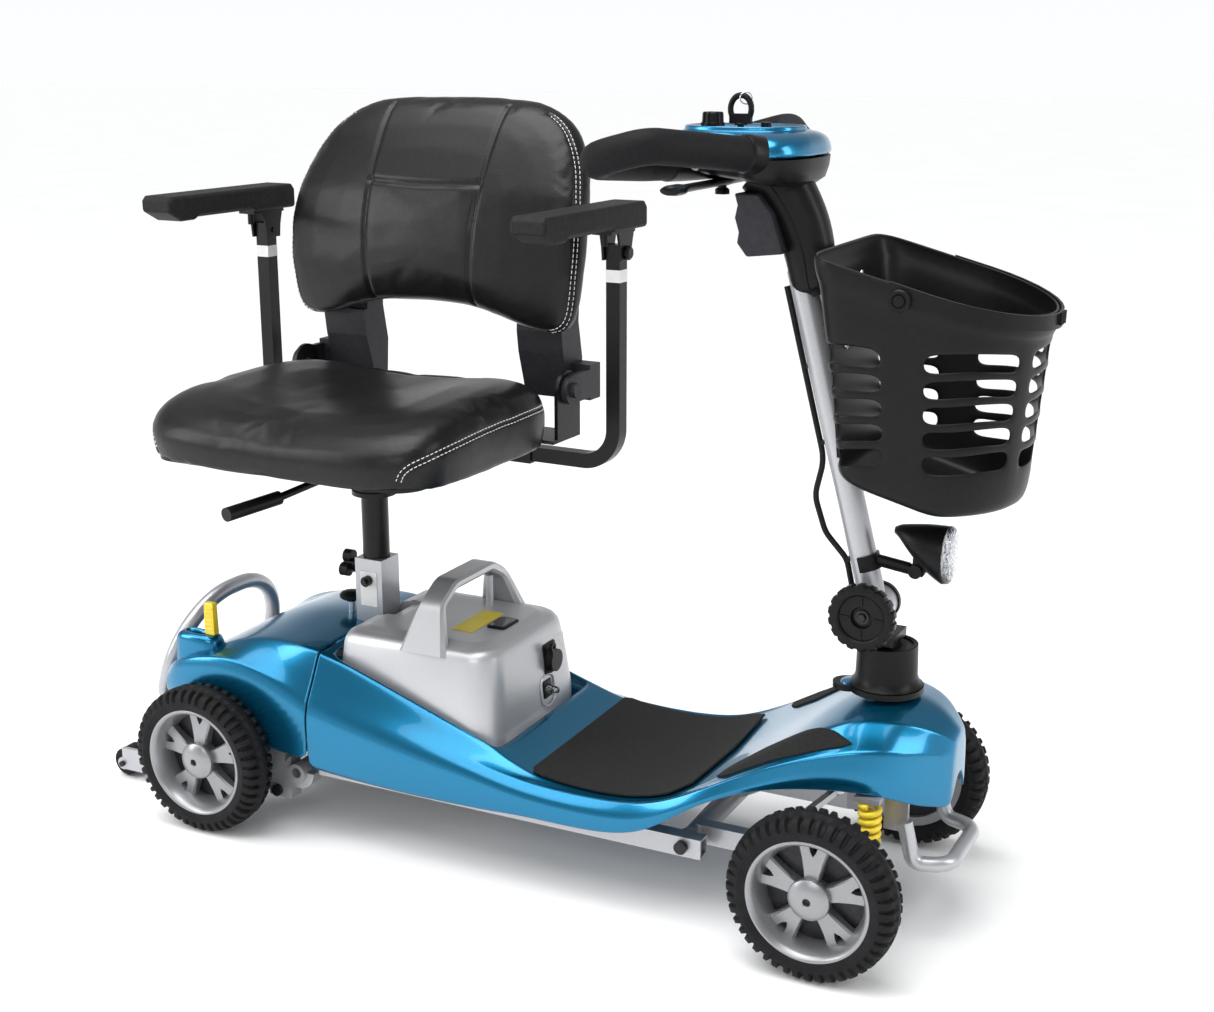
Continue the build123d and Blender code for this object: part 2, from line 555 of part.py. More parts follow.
def basket_plan(x0, x1, half, z, t=0.0):
    """D-shaped plan: flat back, round front; t moves the wall inward."""
    back, front, side = x0 + t, x1 - t, half - t
    turn = 24
    ring = [(back, -side + turn), (back, side - turn), (back + turn, side)]
    for i in range(9):
        a = math.radians(90 - 22.5 * i)
        ring.append((front - side * 0.86 + side * 0.86 * math.cos(a), side * math.sin(a)))
    ring.append((back + turn, -side))
    return [(x, y, z) for x, y in ring]


def basket_body(t, z0, z1):
    """Tapering basket block between two levels; the wall is t inside the skin."""
    def ring_at(z):
        k = (z - 500) / 310
        return basket_plan(830 - 33.5 * k, 1010 + 28 * k, 100 + 26 * k, z, t)
    return loft_rings([ring_at(z0), ring_at(z1)])


RIM_BACK, RIM_FRONT = (798, 800), (1034, 739)
FLOOR = [(826, 545), (937, 516), (1010, 520)]
outer = basket_body(0, 480, 830)
outer &= prism_y([FLOOR[0], FLOOR[1], (1060, 524), (1060, 732), (760, 810), (760, 566)], -150, 150)
inner = basket_body(BASKET_T, 480, 830)
inner &= prism_y([(760, 570), (826, 549), (937, 520), (1060, 528), (1060, 760), (760, 900)],
                 -150, 150)
basket = outer - inner
slots = []
for row in range(5):
    zr = 586 + 27 * row
    for y in (-52, 0, 52):
        slots.append(block(980, 1060, y - 20, y + 20, zr - 6, zr + 6))
    for s in (1, -1):
        for x in (850, 905, 955):
            slots.append(block(x - 19, x + 19, s * 70, s * 140, zr - 3, zr + 9))
for cut in slots:
    basket -= cut
BAIL_X, BAIL_Z = 900.0, 757.0
for s in (1, -1):
    basket += rod_y(BAIL_X, BAIL_Z, s * 119, s * 135, 4)
save(basket, "basket")

up = Vector(-28, 0, 259).normalized()
bracket_face = [(x, z) for x, z in ((823.2, 560), (807.8, 702), (793, 702), (806, 560))]
bracket = prism_y(bracket_face, -32, 32)
bracket -= tube + rod(along(0), along(TUBE_TOP), TUBE_R)
bracket += prism_y([(823.5, 552), (806, 552), (806, 562), (822.5, 562)], -12, 12) - tube
save(bracket + lamp_arm, "tube_brackets")

bail = Part()
for s in (1, -1):
    bail += rod_y(BAIL_X, BAIL_Z, s * 128.4, s * 134, 9)
bail_arc = [(900, -131, 762), (908, -131, 781), (975, -126, 762), (1036, -70, 746),
            (1036, 70, 746), (975, 126, 762), (908, 131, 781), (900, 131, 762)]
bail += bent_tube(bail_arc, 10, 3.2)
for s in (1, -1):
    bail -= rod_y(BAIL_X, BAIL_Z, s * 125, s * 136, 4 + RUN)
save(bail, "basket_handle")


# ---- seat (drawn facing +X about the origin, then turned) ---------------
def seat_part(shape):
    return Pos(POST_X, 0, 0) * Rot(0, 0, SEAT_TURN) * shape


post = rod_z(POST_X, 0, 200, 360, POST_R) + rod_z(POST_X, 0, SOCKET_TOP + GAP, SEAT_Z, 18)
post += rod_z(POST_X, 0, SEAT_Z - 6, SEAT_Z, 30) + rod_z(POST_X, 0, SEAT_Z, 482, 18)
save(post, "seat_post")

lock = rod_x(0, 330, 126, 138.9, 4) + rod_x(0, 330, 104, 126, 8)
for a in (90, 210, 330):
    r = math.radians(a)
    lock += rod_x(11 * math.cos(r), 330 + 11 * math.sin(r), 104, 116, 9)
save(lock, "post_lock_knob")

base = rod_z(0, 0, SEAT_Z + GAP, 484, 27) - rod_z(0, 0, 430, 483, 18 + RUN)
base += block(-90, 90, -80, 80, 484, 488)
base += block(-70, -64, -60, 60, 484, 504) + block(64, 70, -60, 60, 484, 504)
PAN_L, PAN_W = 340.0, 400.0
pan = Pos(38, 0, 503) * rounded_prism(PAN_L, PAN_W, 5, 40)
base += pan + block(-170, -100, -120, 120, 503, 508)
receiver = block(ARM_U - 13, ARM_U + 13, -160, 160, ARM_Z - 13, ARM_Z + 13)
receiver -= block(ARM_U - 10.2, ARM_U + 10.2, -170, 170, ARM_Z - 10.2, ARM_Z + 10.2)
base += receiver + block(ARM_U - 13, ARM_U + 13, -60, 60, ARM_Z + 13, 508)
for s in (1, -1):
    base += block(-172, -100, s * 100, s * 218, 503, 508)
    base += block(-172, -112, s * 213, s * 218, 503, 566) + rod_y(
        BACK_HINGE_U, BACK_HINGE_Z, s * 213, s * 218, 26)
    base -= rod_y(BACK_HINGE_U, BACK_HINGE_Z, s * 210, s * 220, 6 + RUN)
base -= rod_z(45, -26, 483, 489, 8 + RUN)
save(seat_part(base), "seat_base")

cushion = Pos(45, 0, 508.3) * rounded_prism(366, 428, 74, 48)
cushion = fillet(cushion.edges().group_by(Axis.Z)[-1], 24)
skirt = Pos(45, 0, 498) * rounded_prism(366, 428, 20, 48) & block(-94, 240, -220, 220, 498, 516)
cushion += skirt - Pos(38, 0, 490) * rounded_prism(PAN_L + 2 * GAP, PAN_W + 2 * GAP, 18.3, 40)
for s in (1, -1):
    cushion -= block(-180, -94, s * 211, s * 240, 400, 700)
save(seat_part(cushion), "seat_cushion")

swivel = rod((45, -26, 470), (70, -28, 466), 5) + rod((70, -28, 466), (150, -38, 458), 5)
swivel += rod((150, -38, 458), (236, -50, 455), 9) + rod_z(45, -26, 464, 488 - GAP, 8)
save(seat_part(swivel), "swivel_lever")


BACK_Z0, BACK_Z1 = 648.0, 945.0
back_side = [(-114, BACK_Z0), (-120, 720), (-143, 820), (-178, 890), (-208, BACK_Z1),
             (-262, BACK_Z1), (-232, 880), (-200, 810), (-178, 720), (-170, BACK_Z0)]
back_outline = [(-194, 0), (194, 0), (220, 30), (228, 105), (218, 200), (174, 270), (112, 297),
                (-112, 297), (-174, 270), (-218, 200), (-228, 105), (-220, 30)]
back_face = make_face(Polyline(*[(v, BACK_Z0 + h) for v, h in back_outline], close=True))
back = prism_y(back_side, -240, 240) & (Pos(-300, 0, 0) * extrude(Plane.YZ * back_face, amount=250))
save(seat_part(back), "back_cushion")

columns = Part()
column_side = [(-184, 548), (-214, 548), (-218, 600), (-208, 650), (-214, 720), (-236, 800),
               (-190, 800), (-170, 720), (-162, 640), (-166, 610), (-178, 570)]
for s in (1, -1):
    columns += prism_y(column_side, min(s * 126, s * 196), max(s * 126, s * 196))
    columns += block(-214, -186, s * 190, s * 226, 548, 596)
    lug = block(-214, BACK_HINGE_U, s * 218.3, s * 226, 552, 590)
    lug += rod_y(BACK_HINGE_U, BACK_HINGE_Z, s * 218.3, s * 226, 19)
    columns += lug
    columns += rod_y(BACK_HINGE_U, BACK_HINGE_Z, s * 210, s * 232, 6)
    columns += rod_y(BACK_HINGE_U, BACK_HINGE_Z, s * 226, s * 233, 10)
columns += prism_y([(-214, 720), (-236, 800), (-222, 800), (-200, 720)], -130, 130)
columns -= back
save(seat_part(columns), "back_frame")


def arm_tube(s):
    """Square tube that slides in the receiver, bends up and carries the pad."""
    path = FilletPolyline((ARM_U, s * 14, ARM_Z), (ARM_U, s * ARM_V, ARM_Z),
                          (ARM_U, s * ARM_V, ARM_PIVOT_Z + 10), radius=45)
    plane = Plane(origin=path @ 0, x_dir=(1, 0, 0), z_dir=path % 0)
    tube20 = sweep(plane * Rectangle(20, 20), path=path)
    tube20 += rod_y(ARM_U, ARM_PIVOT_Z, s * (ARM_V - 16), s * (ARM_V + 16), 4)
    return seat_part(tube20)


def arm_pad(s):
    """Padded armrest with the clevis that flips up about the tube's top."""
    pad = Pos(-60, s * ARM_V, 783) * rounded_prism(264, 50, 35, 14)
    pad -= prism_y([(73, 782), (73, 796), (40, 782)], -320, 320)
    clevis = block(ARM_U - 25, ARM_U + 40, s * ARM_V - 14, s * ARM_V + 14, 779, 784)
    for y in (-12.5, 12.5):
        clevis += block(ARM_U - 14, ARM_U + 14, s * ARM_V + y - 1.8, s * ARM_V + y + 1.8, 744, 782)
    clevis -= rod_y(ARM_U, ARM_PIVOT_Z, s * ARM_V - 20, s * ARM_V + 20, 4 + RUN)
    return seat_part(pad + clevis)


for side, s in (("left", 1), ("right", -1)):
    save(arm_tube(s), f"arm_tube_{side}")
    save(arm_pad(s), f"arm_pad_{side}")

# ---- battery pack -------------------------------------------------------
BATT_Z0 = TRAY_Z + GAP
HANDLE_X = 292.0


def case_ring(x0, x1, half, z, t=0.0, corner=40.0):
    """Rounded rectangle ring with a shallow rear notch for the seat post."""
    x0, x1, half = x0 + t, x1 - t, half - t
    ring = []
    for cx, cy, a0 in ((x1 - corner, half - corner, 90), (x1 - corner, -half + corner, 0)):
        for i in range(5):
            a = math.radians(a0 - 22.5 * i)
            ring.append((cx + corner * math.cos(a), cy + corner * math.sin(a), z))
    notch = 20
    ring += [(x0 + 14, -half, z), (x0, -half + 14, z), (x0, -30 - t, z), (x0 + notch, -30 - t, z),
             (x0 + notch, 30 + t, z), (x0, 30 + t, z), (x0, half - 14, z), (x0 + 14, half, z)]
    return ring


def case_body(t, z0, z1):
    return loft_rings([case_ring(166, 402, 122, z0, t), case_ring(166, 400, 121.5, 176, t),
                       case_ring(166, 389, 105, z1, t)])


case = case_body(0, BATT_Z0, 280) - case_body(3, BATT_Z0 + 3, 277)
handle_side = [(-105, 262), (-76, 326), (-48, 346), (48, 346), (76, 326), (105, 262),
               (82, 262), (62, 318), (42, 333), (-42, 333), (-62, 318), (-82, 262)]
arch_outline = make_face(Polyline(*handle_side, close=True))
arch = Pos(HANDLE_X - 18, 0, 0) * extrude(Plane.YZ * arch_outline, amount=36)
case += arch - case_body(0, BATT_Z0, 280)
SOCKET_Y, SOCKET_Z2 = 40.0, 226.0
CHARGE_R = 8.0
case += rod_x(SOCKET_Y, SOCKET_Z2, 380, 402, 17)
case -= rod_x(SOCKET_Y, SOCKET_Z2, 386, 410, CHARGE_R)
HINGE_Y, HINGE_Z = SOCKET_Y - 9, SOCKET_Z2 + 21
case += rod_x(HINGE_Y, HINGE_Z, 388, 409, 3)
save(case, "battery_case")

cells = Part()
for s in (1, -1):
    cells += block(194, 372, s * 6, s * 94, BATT_Z0 + 4, BATT_Z0 + 110)
save(cells, "battery_cells")

cap = rod_x(SOCKET_Y, SOCKET_Z2, 402 + GAP, 407, 15) + rod_x(HINGE_Y, HINGE_Z, 402 + GAP, 407, 6)
cap += block(402 + GAP, 407, HINGE_Y - 3, HINGE_Y + 4, HINGE_Z - 14, HINGE_Z)
cap -= rod_x(HINGE_Y, HINGE_Z, 400, 410, 3 + RUN)
save(cap, "charge_cap")

# ---- covers -------------------------------------------------------------
def cover_section(x, w, zb, zs, yc, zc, yi, zi, ztop, t=0.0):
    """One ring of a cover: skirt, crest, shoulder and top, moved in by t."""
    drop = 1.3 * t
    low = zb if not t else zb - 20
    half = [(w - t, low), (w - t, zs - drop), (yc - t, zc - drop), (yi - t, zi - drop)]
    ring = [(x, y, z) for y, z in half] + [(x, 0, ztop - drop)]
    return ring + [(x, -y, z) for y, z in reversed(half)]


def cover_block(stations):
    return loft_rings([cover_section(*row) for row in stations])


def cover(stations):
    """A thin moulded cover, open underneath, through its stations."""
    inner_rings = [cover_section(*row, t=COVER_T) for row in stations]
    return cover_block(stations) - loft_rings(inner_rings)


# x, half width, skirt bottom, skirt top, crest y and z, shoulder y and z, middle z
front_stations = [
    (149, 167, 112, 180, 160, 193, 130, 250, 252),
    (200, 167, 108, 172, 158, 186, 130, 236, 238),
    (300, 166, 104, 156, 155, 168, 130, 202, 204),
    (402, 165, 106, 142, 152, 151, 130, 168, 169),
    (470, 165, 110, 130, 151, 140, 138, 141, 140),
    (560, 165, 108, 128, 151, 138, 138, 136, 135),
    (625, 163, 118, 132, 152, 145, 138, 143, 142),
    (676, 160, 150, 160, 152, 168, 134, 166, 163),
    (720, 154, 174, 182, 148, 192, 126, 196, 190),
    (768, 147, 191, 202, 143, 216, 112, 226, 224),
    (811, 138, 197, 216, 134, 232, 96, 252, 258),
    (860, 128, 200, 222, 122, 246, 82, 270, 281),
    (900, 112, 195, 218, 106, 246, 70, 268, 280),
    (925, 84, 178, 208, 78, 238, 56, 262, 272),
    (942, 58, 168, 196, 54, 230, 40, 252, 262),
    (956, 34, 160, 188, 32, 222, 24, 240, 248),
]
front_cover = cover(front_stations)
front_cover += extrude(Plane.YZ * make_face(Polyline(
    *[(y, z) for _, y, z in cover_section(*front_stations[-1])], close=True)),
    amount=COVER_T).moved(Location((956, 0, 0)))
front_cover -= block(160, 408, -126, 126, 60, 300)
front_cover -= block(POST_X - 23, POST_X + 23, -23, 23, 240, 300)
front_cover -= rod_z(STEER_X, 0, 240, 300, 34)
save(front_cover, "front_cover")

rear_stations = [
    (-94, 150, 160, 190, 140, 200, 120, 206, 210),
    (-60, 162, 150, 212, 158, 222, 120, 232, 240),
    (0, 164, 122, 224, 158, 234, 120, 246, 262),
    (68, 164, 118, 212, 158, 224, 122, 254, 266),
    (120, 165, 114, 192, 158, 204, 128, 254, 264),
    (146, 166, 112, 182, 158, 194, 129, 251, 260),
]
rear_cover = cover(rear_stations)
rear_cover -= block(POST_X - 23, POST_X + 23, -23, 23, 240, 300)
rear_cover += block(-88, -14, -139, -105, 224, 240) - block(-84, -18, -135, -109, 200, 236)
lever_x, lever_y, lever_z = -34.0, -121.0, 222.0
rear_cover -= block(-60, -20, lever_y - 7, lever_y + 7, 200, 260)
KNOB_X = 110.0
rear_cover -= rod_z(KNOB_X, 0, 240, 280, 5 + RUN)
save(rear_cover, "rear_cover")

save(rod_z(KNOB_X, 0, 200, 282, 5) + rod_z(KNOB_X, 0, 278, 292, 16), "latch_knob")
free = block(lever_x - 6, lever_x + 6, lever_y - 5, lever_y + 5, 196, 289)
free += rod_y(lever_x, 196, lever_y - 5, lever_y + 5, 8)
save(free, "freewheel_lever")

# gritty mats that follow the deck: one on the floor and a leaf on each toe board
MAT_T = 2.5
main_mat = [(460, -130), (468, -137), (655, -137), (676, -120), (676, 120), (655, 137),
            (468, 137), (460, 130)]
toe_mat = [(706, 128), (718, 96), (750, 82), (800, 84), (838, 96), (866, 112), (830, 122),
           (780, 132), (730, 138)]
deck = cover_block(front_stations)
mat_layer = Pos(0, 0, MAT_T) * deck - deck
mat_plans = [main_mat] + [[(x, s * y) for x, y in toe_mat] for s in (1, -1)]
mats = Part()
for plan in mat_plans:
    outline = make_face(Polyline(*plan, close=True))
    mats += mat_layer & (Pos(0, 0, 120) * extrude(outline, amount=180))
save(mats, "floor_mats")
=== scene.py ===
import math

import bmesh
import bpy
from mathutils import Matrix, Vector
from mathutils.bvhtree import BVHTree
from mathutils.geometry import intersect_point_line


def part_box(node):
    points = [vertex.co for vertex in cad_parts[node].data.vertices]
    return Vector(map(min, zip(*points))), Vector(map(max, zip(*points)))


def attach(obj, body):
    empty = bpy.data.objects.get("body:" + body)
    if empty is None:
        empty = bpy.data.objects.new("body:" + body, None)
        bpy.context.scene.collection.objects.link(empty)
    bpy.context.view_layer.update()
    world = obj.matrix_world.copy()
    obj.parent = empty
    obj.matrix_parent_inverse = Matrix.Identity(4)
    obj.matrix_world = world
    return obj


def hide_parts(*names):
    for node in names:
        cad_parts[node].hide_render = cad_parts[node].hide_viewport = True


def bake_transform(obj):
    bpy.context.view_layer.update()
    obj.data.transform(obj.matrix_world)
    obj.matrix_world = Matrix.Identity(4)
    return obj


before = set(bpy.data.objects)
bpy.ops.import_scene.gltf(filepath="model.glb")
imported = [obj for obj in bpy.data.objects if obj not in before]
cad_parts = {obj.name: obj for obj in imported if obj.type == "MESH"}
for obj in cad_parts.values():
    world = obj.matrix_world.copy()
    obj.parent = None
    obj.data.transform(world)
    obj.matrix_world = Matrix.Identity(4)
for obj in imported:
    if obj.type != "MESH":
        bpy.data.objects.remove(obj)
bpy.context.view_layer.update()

MM = 0.001
scene = bpy.context.scene


# ---- materials -----------------------------------------------------------
def material(name, color, rough=0.5, metal=0.0, vary=0.12, vary_scale=30.0, rough_vary=0.1,
             bumps=(), coat=0.0, coat_rough=0.05, spec=0.5, transmission=0.0):
    """A procedural finish: colour and roughness variation, then layers of bump.

    bumps are (kind, scale, strength, distance in mm) with kind noise, cells or brushed."""
    mat = bpy.data.materials.new(name)
    mat.use_nodes = True
    nodes, links = mat.node_tree.nodes, mat.node_tree.links
    bsdf = nodes["Principled BSDF"]
    bsdf.inputs["Metallic"].default_value = metal
    bsdf.inputs["Specular IOR Level"].default_value = spec
    bsdf.inputs["Coat Weight"].default_value = coat
    bsdf.inputs["Coat Roughness"].default_value = coat_rough
    bsdf.inputs["Transmission Weight"].default_value = transmission
    coord = nodes.new("ShaderNodeTexCoord")
    noise = nodes.new("ShaderNodeTexNoise")
    noise.inputs["Scale"].default_value = vary_scale
    noise.inputs["Detail"].default_value = 4
    links.new(coord.outputs["Object"], noise.inputs["Vector"])
    ramp = nodes.new("ShaderNodeValToRGB")
    ramp.color_ramp.elements[0].position = 0.3
    ramp.color_ramp.elements[1].position = 0.7
    ramp.color_ramp.elements[0].color = [c * (1 - vary) for c in color] + [1]
    ramp.color_ramp.elements[1].color = [min(1, c * (1 + vary)) for c in color] + [1]
    links.new(noise.outputs["Fac"], ramp.inputs["Fac"])
    links.new(ramp.outputs["Color"], bsdf.inputs["Base Color"])
    spread = nodes.new("ShaderNodeMapRange")
    spread.inputs["To Min"].default_value = max(0.02, rough - rough_vary)
    spread.inputs["To Max"].default_value = min(1.0, rough + rough_vary)
    fine = nodes.new("ShaderNodeTexNoise")
    fine.inputs["Scale"].default_value = vary_scale * 4
    links.new(coord.outputs["Object"], fine.inputs["Vector"])
    links.new(fine.outputs["Fac"], spread.inputs["Value"])
    links.new(spread.outputs["Result"], bsdf.inputs["Roughness"])
    last = None
    for kind, scale, strength, dist in bumps:
        vector = coord.outputs["Object"]
        if kind == "brushed":
            mapping = nodes.new("ShaderNodeMapping")
            mapping.inputs["Scale"].default_value = (1, 1, 0.04)
            links.new(vector, mapping.inputs["Vector"])
            vector = mapping.outputs["Vector"]
        if kind == "cells":
            tex = nodes.new("ShaderNodeTexVoronoi")
            out = tex.outputs["Distance"]
        else:
            tex = nodes.new("ShaderNodeTexNoise")
            tex.inputs["Detail"].default_value = 3
            out = tex.outputs["Fac"]
        tex.inputs["Scale"].default_value = scale
        links.new(vector, tex.inputs["Vector"])
        bump = nodes.new("ShaderNodeBump")
        bump.inputs["Strength"].default_value = strength
        bump.inputs["Distance"].default_value = dist * MM
        links.new(out, bump.inputs["Height"])
        if last:
            links.new(last.outputs["Normal"], bump.inputs["Normal"])
        last = bump
    if last:
        links.new(last.outputs["Normal"], bsdf.inputs["Normal"])
    return mat


BLUE = material("blue_metallic", (0.004, 0.165, 0.32), 0.24, 0.82, 0.1, 700, 0.04,
                [("noise", 1800, 0.015, 0.1)], coat=0.45, coat_rough=0.03)
SILVER = material("silver_paint", (0.43, 0.435, 0.455), 0.33, 0.6, 0.06, 900, 0.06,
                  [("noise", 1300, 0.08, 0.1), ("noise", 14, 0.05, 1.0)], coat=0.3)
SILVER_PLASTIC = material("silver_plastic", (0.5, 0.505, 0.52), 0.36, 0.55, 0.05, 1100, 0.05,
                          [("noise", 1500, 0.08, 0.1)], coat=0.25, coat_rough=0.2)
RIM_PAINT = material("rim_paint", (0.3, 0.305, 0.315), 0.33, 0.72, 0.07, 700, 0.06,
                     [("noise", 900, 0.1, 0.15)], coat=0.15)
GREY_METAL = material("bright_metal", (0.55, 0.56, 0.58), 0.33, 1.0, 0.08, 120, 0.1,
                      [("brushed", 900, 0.12, 0.1)])
CAST = material("cast_metal", (0.45, 0.46, 0.48), 0.5, 0.8, 0.1, 200, 0.12,
                [("noise", 420, 0.35, 0.3)])
RUBBER = material("tyre_rubber", (0.008, 0.008, 0.009), 0.58, 0, 0.35, 60, 0.12,
                  [("noise", 900, 0.25, 0.2), ("noise", 90, 0.12, 0.4)], spec=0.16)
FOAM = material("grip_foam", (0.009, 0.009, 0.01), 0.62, 0, 0.2, 220, 0.08,
                [("cells", 1400, 0.35, 0.25), ("noise", 240, 0.12, 0.3)], spec=0.12)
PU = material("arm_pad_foam", (0.018, 0.018, 0.019), 0.6, 0, 0.2, 160, 0.08,
              [("noise", 1400, 0.3, 0.2)], spec=0.12)
PLASTIC = material("black_plastic", (0.006, 0.006, 0.0065), 0.36, 0, 0.15, 120, 0.07,
                   [("noise", 1500, 0.22, 0.15)], spec=0.17)
GREY_PLASTIC = material("grey_plastic", (0.026, 0.026, 0.031), 0.45, 0, 0.15, 120, 0.08,
                        [("noise", 1200, 0.35, 0.2)], spec=0.2)
BLACK_STEEL = material("black_steel", (0.006, 0.006, 0.0065), 0.32, 0.0, 0.2, 120, 0.08,
                       [("noise", 900, 0.18, 0.15)], spec=0.22)
BOLT = material("black_bolt", (0.03, 0.03, 0.033), 0.36, 0.8, 0.2, 200, 0.1,
                [("noise", 700, 0.2, 0.15)])
MAT = material("grit_mat", (0.014, 0.014, 0.0145), 0.85, 0, 0.9, 1100, 0.08,
               [("cells", 620, 1.0, 1.6), ("noise", 1300, 0.8, 0.8)], spec=0.3)
LEATHER = material("leatherette", (0.006, 0.006, 0.0065), 0.33, 0, 0.2, 90, 0.07,
                   [("cells", 520, 0.22, 0.35), ("noise", 900, 0.15, 0.2),
                    ("noise", 26, 0.16, 2.2)], spec=0.26)
THREAD = material("white_thread", (0.7, 0.69, 0.66), 0.8, 0, 0.15, 900, 0.08,
                  [("brushed", 3500, 0.5, 0.2)])
YELLOW = material("yellow_plastic", (0.78, 0.55, 0.015), 0.35, 0, 0.07, 140, 0.08,
                  [("noise", 500, 0.1, 0.2)], coat=0.3)
SPRING = material("yellow_coil", (0.8, 0.6, 0.02), 0.4, 0, 0.12, 140, 0.1,
                  [("noise", 260, 0.2, 0.3)], coat=0.3)
TAG = material("white_tag", (0.75, 0.75, 0.74), 0.5, 0, 0.05, 60, 0.08, [("noise", 700, 0.1, 0.1)])
YELLOW_TAG = material("yellow_tag", (0.7, 0.56, 0.03), 0.45, 0, 0.05, 60, 0.06,
                      [("noise", 700, 0.1, 0.1)])
SMOKE = material("dark_window", (0.02, 0.022, 0.025), 0.12, 0, 0.3, 60, 0.04,
                 [("noise", 400, 0.03, 0.1)], coat=1.0)
CELLS = material("cell_wrap", (0.03, 0.045, 0.09), 0.4, 0, 0.15, 60, 0.1, [("noise", 300, 0.2, 0.2)])
LENS = material("clear_lens", (0.93, 0.95, 0.97), 0.06, 0, 0.02, 60, 0.02,
                [("cells", 240, 0.25, 0.8)], transmission=1.0)
REFLECTOR = material("lamp_reflector", (0.75, 0.76, 0.78), 0.14, 1.0, 0.1, 120, 0.05,
                     [("cells", 190, 0.9, 1.5)])
BLUE_BUTTON = material("blue_button", (0.01, 0.12, 0.28), 0.25, 0.1, 0.1, 90, 0.05,
                       [("noise", 300, 0.05, 0.1)], coat=1.0)
FLOOR = material("studio_floor", (0.92, 0.92, 0.92), 0.7, 0, 0.01, 2, 0.05,
                 [("noise", 40, 0.02, 0.5)])


# ---- geometry helpers (millimetres in, metres out) ------------------------
def piece(name, shape, mat, body, replaces=(), sub=0, bevel=0.0, solid=0.0,
          creases=None, angle=35, place=None):
    """A mesh piece of a Shape that rides on a body; place turns its points into the row frame."""
    mesh = bpy.data.meshes.new(name)
    pts = [place(p) if place else p for p in shape.v]
    mesh.from_pydata([(x * MM, y * MM, z * MM) for x, y, z in pts], [], shape.f)
    bm = bmesh.new()
    bm.from_mesh(mesh)
    bmesh.ops.remove_doubles(bm, verts=bm.verts, dist=1e-6)
    bmesh.ops.recalc_face_normals(bm, faces=bm.faces)
    if creases:
        layer = bm.edges.layers.float.new("crease_edge")
        for edge in bm.edges:
            value = creases(edge.verts[0].co / MM, edge.verts[1].co / MM, edge)
            if value:
                edge[layer] = value
    bm.to_mesh(mesh)
    bm.free()
    obj = bpy.data.objects.new(name, mesh)
    scene.collection.objects.link(obj)
    mesh.materials.append(mat)
    for poly in mesh.polygons:
        poly.use_smooth = True
    if not sub:
        mesh.set_sharp_from_angle(angle=math.radians(angle))
    if solid:
        mod = obj.modifiers.new("wall", "SOLIDIFY")
        mod.thickness = solid * MM
        mod.offset = -1
        mod.use_even_offset = True
        mod.use_quality_normals = True
    if bevel:
        mod = obj.modifiers.new("edge", "BEVEL")
        mod.width = bevel * MM
        mod.segments = 3
        mod.limit_method = "ANGLE"
        mod.angle_limit = math.radians(35)
        mod.harden_normals = not sub
    if sub:
        mod = obj.modifiers.new("smooth", "SUBSURF")
        mod.levels = mod.render_levels = sub
    if body:
        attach(obj, body)
    if replaces:
        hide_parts(*replaces)
    return obj


def angles(n, count=None):
    """The angles of n even steps round a circle; count n + 1 closes it."""
    return [2 * math.pi * k / n for k in range(count or n)]


class Shape:
    """Collects vertices and faces, so one piece can be built from several parts."""

    def __init__(self):
        self.v, self.f = [], []

    def add(self, verts, faces, move=None):
        base = len(self.v)
        self.v += [tuple(move(p)) if move else tuple(p) for p in verts]
        self.f += [tuple(i + base for i in face) for face in faces]
        return self

    def loft(self, rings, caps=True, move=None):
        """Skin over rings that have equally many points."""
        n = len(rings[0])
        verts = [p for ring in rings for p in ring]
        faces = []
        for k in range(len(rings) - 1):
            for i in range(n):
                j = (i + 1) % n
                faces.append((k * n + i, k * n + j, (k + 1) * n + j, (k + 1) * n + i))
        if caps:
            faces.append(tuple(reversed(range(n))))
            faces.append(tuple((len(rings) - 1) * n + i for i in range(n)))
        return self.add(verts, faces, move)

    def tube(self, points, radius, seg=20, caps=True):
        """A round tube through the points; radius may be a number or a list."""
        pts = [Vector(p) for p in points]
        radii = radius if isinstance(radius, (list, tuple)) else [radius] * len(pts)
        rings = []
        side = None
        for i, p in enumerate(pts):
            ahead = pts[min(i + 1, len(pts) - 1)]
            behind = pts[max(i - 1, 0)]
            t = (ahead - behind).normalized()
            if side is None:
                side = t.orthogonal().normalized()
            side = (side - t * side.dot(t)).normalized()
            up = t.cross(side)
            rings.append([p + (side * math.cos(a) + up * math.sin(a)) * radii[i]
                          for a in angles(seg)])
        return self.loft(rings, caps=caps)

    def revolve(self, profile, seg=48, move=None, shape=None):
        """(radius, height) profile spun about z; shape may change a point by its angle."""
        rings = []
        for r, h in profile:
            ring = []
            for a in angles(seg):
                rr, hh = shape(r, h, a) if shape else (r, h)
                ring.append((rr * math.cos(a), rr * math.sin(a), hh))
            rings.append(ring)
        return self.loft(rings, caps=False, move=move)

    def prism(self, outline, h0, h1, move=None):
        return self.loft([[(x, y, h0) for x, y in outline], [(x, y, h1) for x, y in outline]],
                         move=move)

    def box(self, lo, hi, move=None):
        (x0, y0, z0), (x1, y1, z1) = lo, hi
        return self.prism([(x0, y0), (x1, y0), (x1, y1), (x0, y1)], z0, z1, move)


def smooth_line(points, steps=6):
    """Catmull-Rom through the points, ends included."""
    pts = [Vector(p) for p in points]
    pts = [pts[0] * 2 - pts[1]] + pts + [pts[-1] * 2 - pts[-2]]
    out = []
    for i in range(1, len(pts) - 2):
        a, b, c, d = pts[i - 1:i + 3]
        for k in range(steps):
            t = k / steps
            out.append(0.5 * (2 * b + (c - a) * t + (2 * a - 5 * b + 4 * c - d) * t * t
                              + (3 * b - a - 3 * c + d) * t ** 3))
    return out + [pts[-2]]


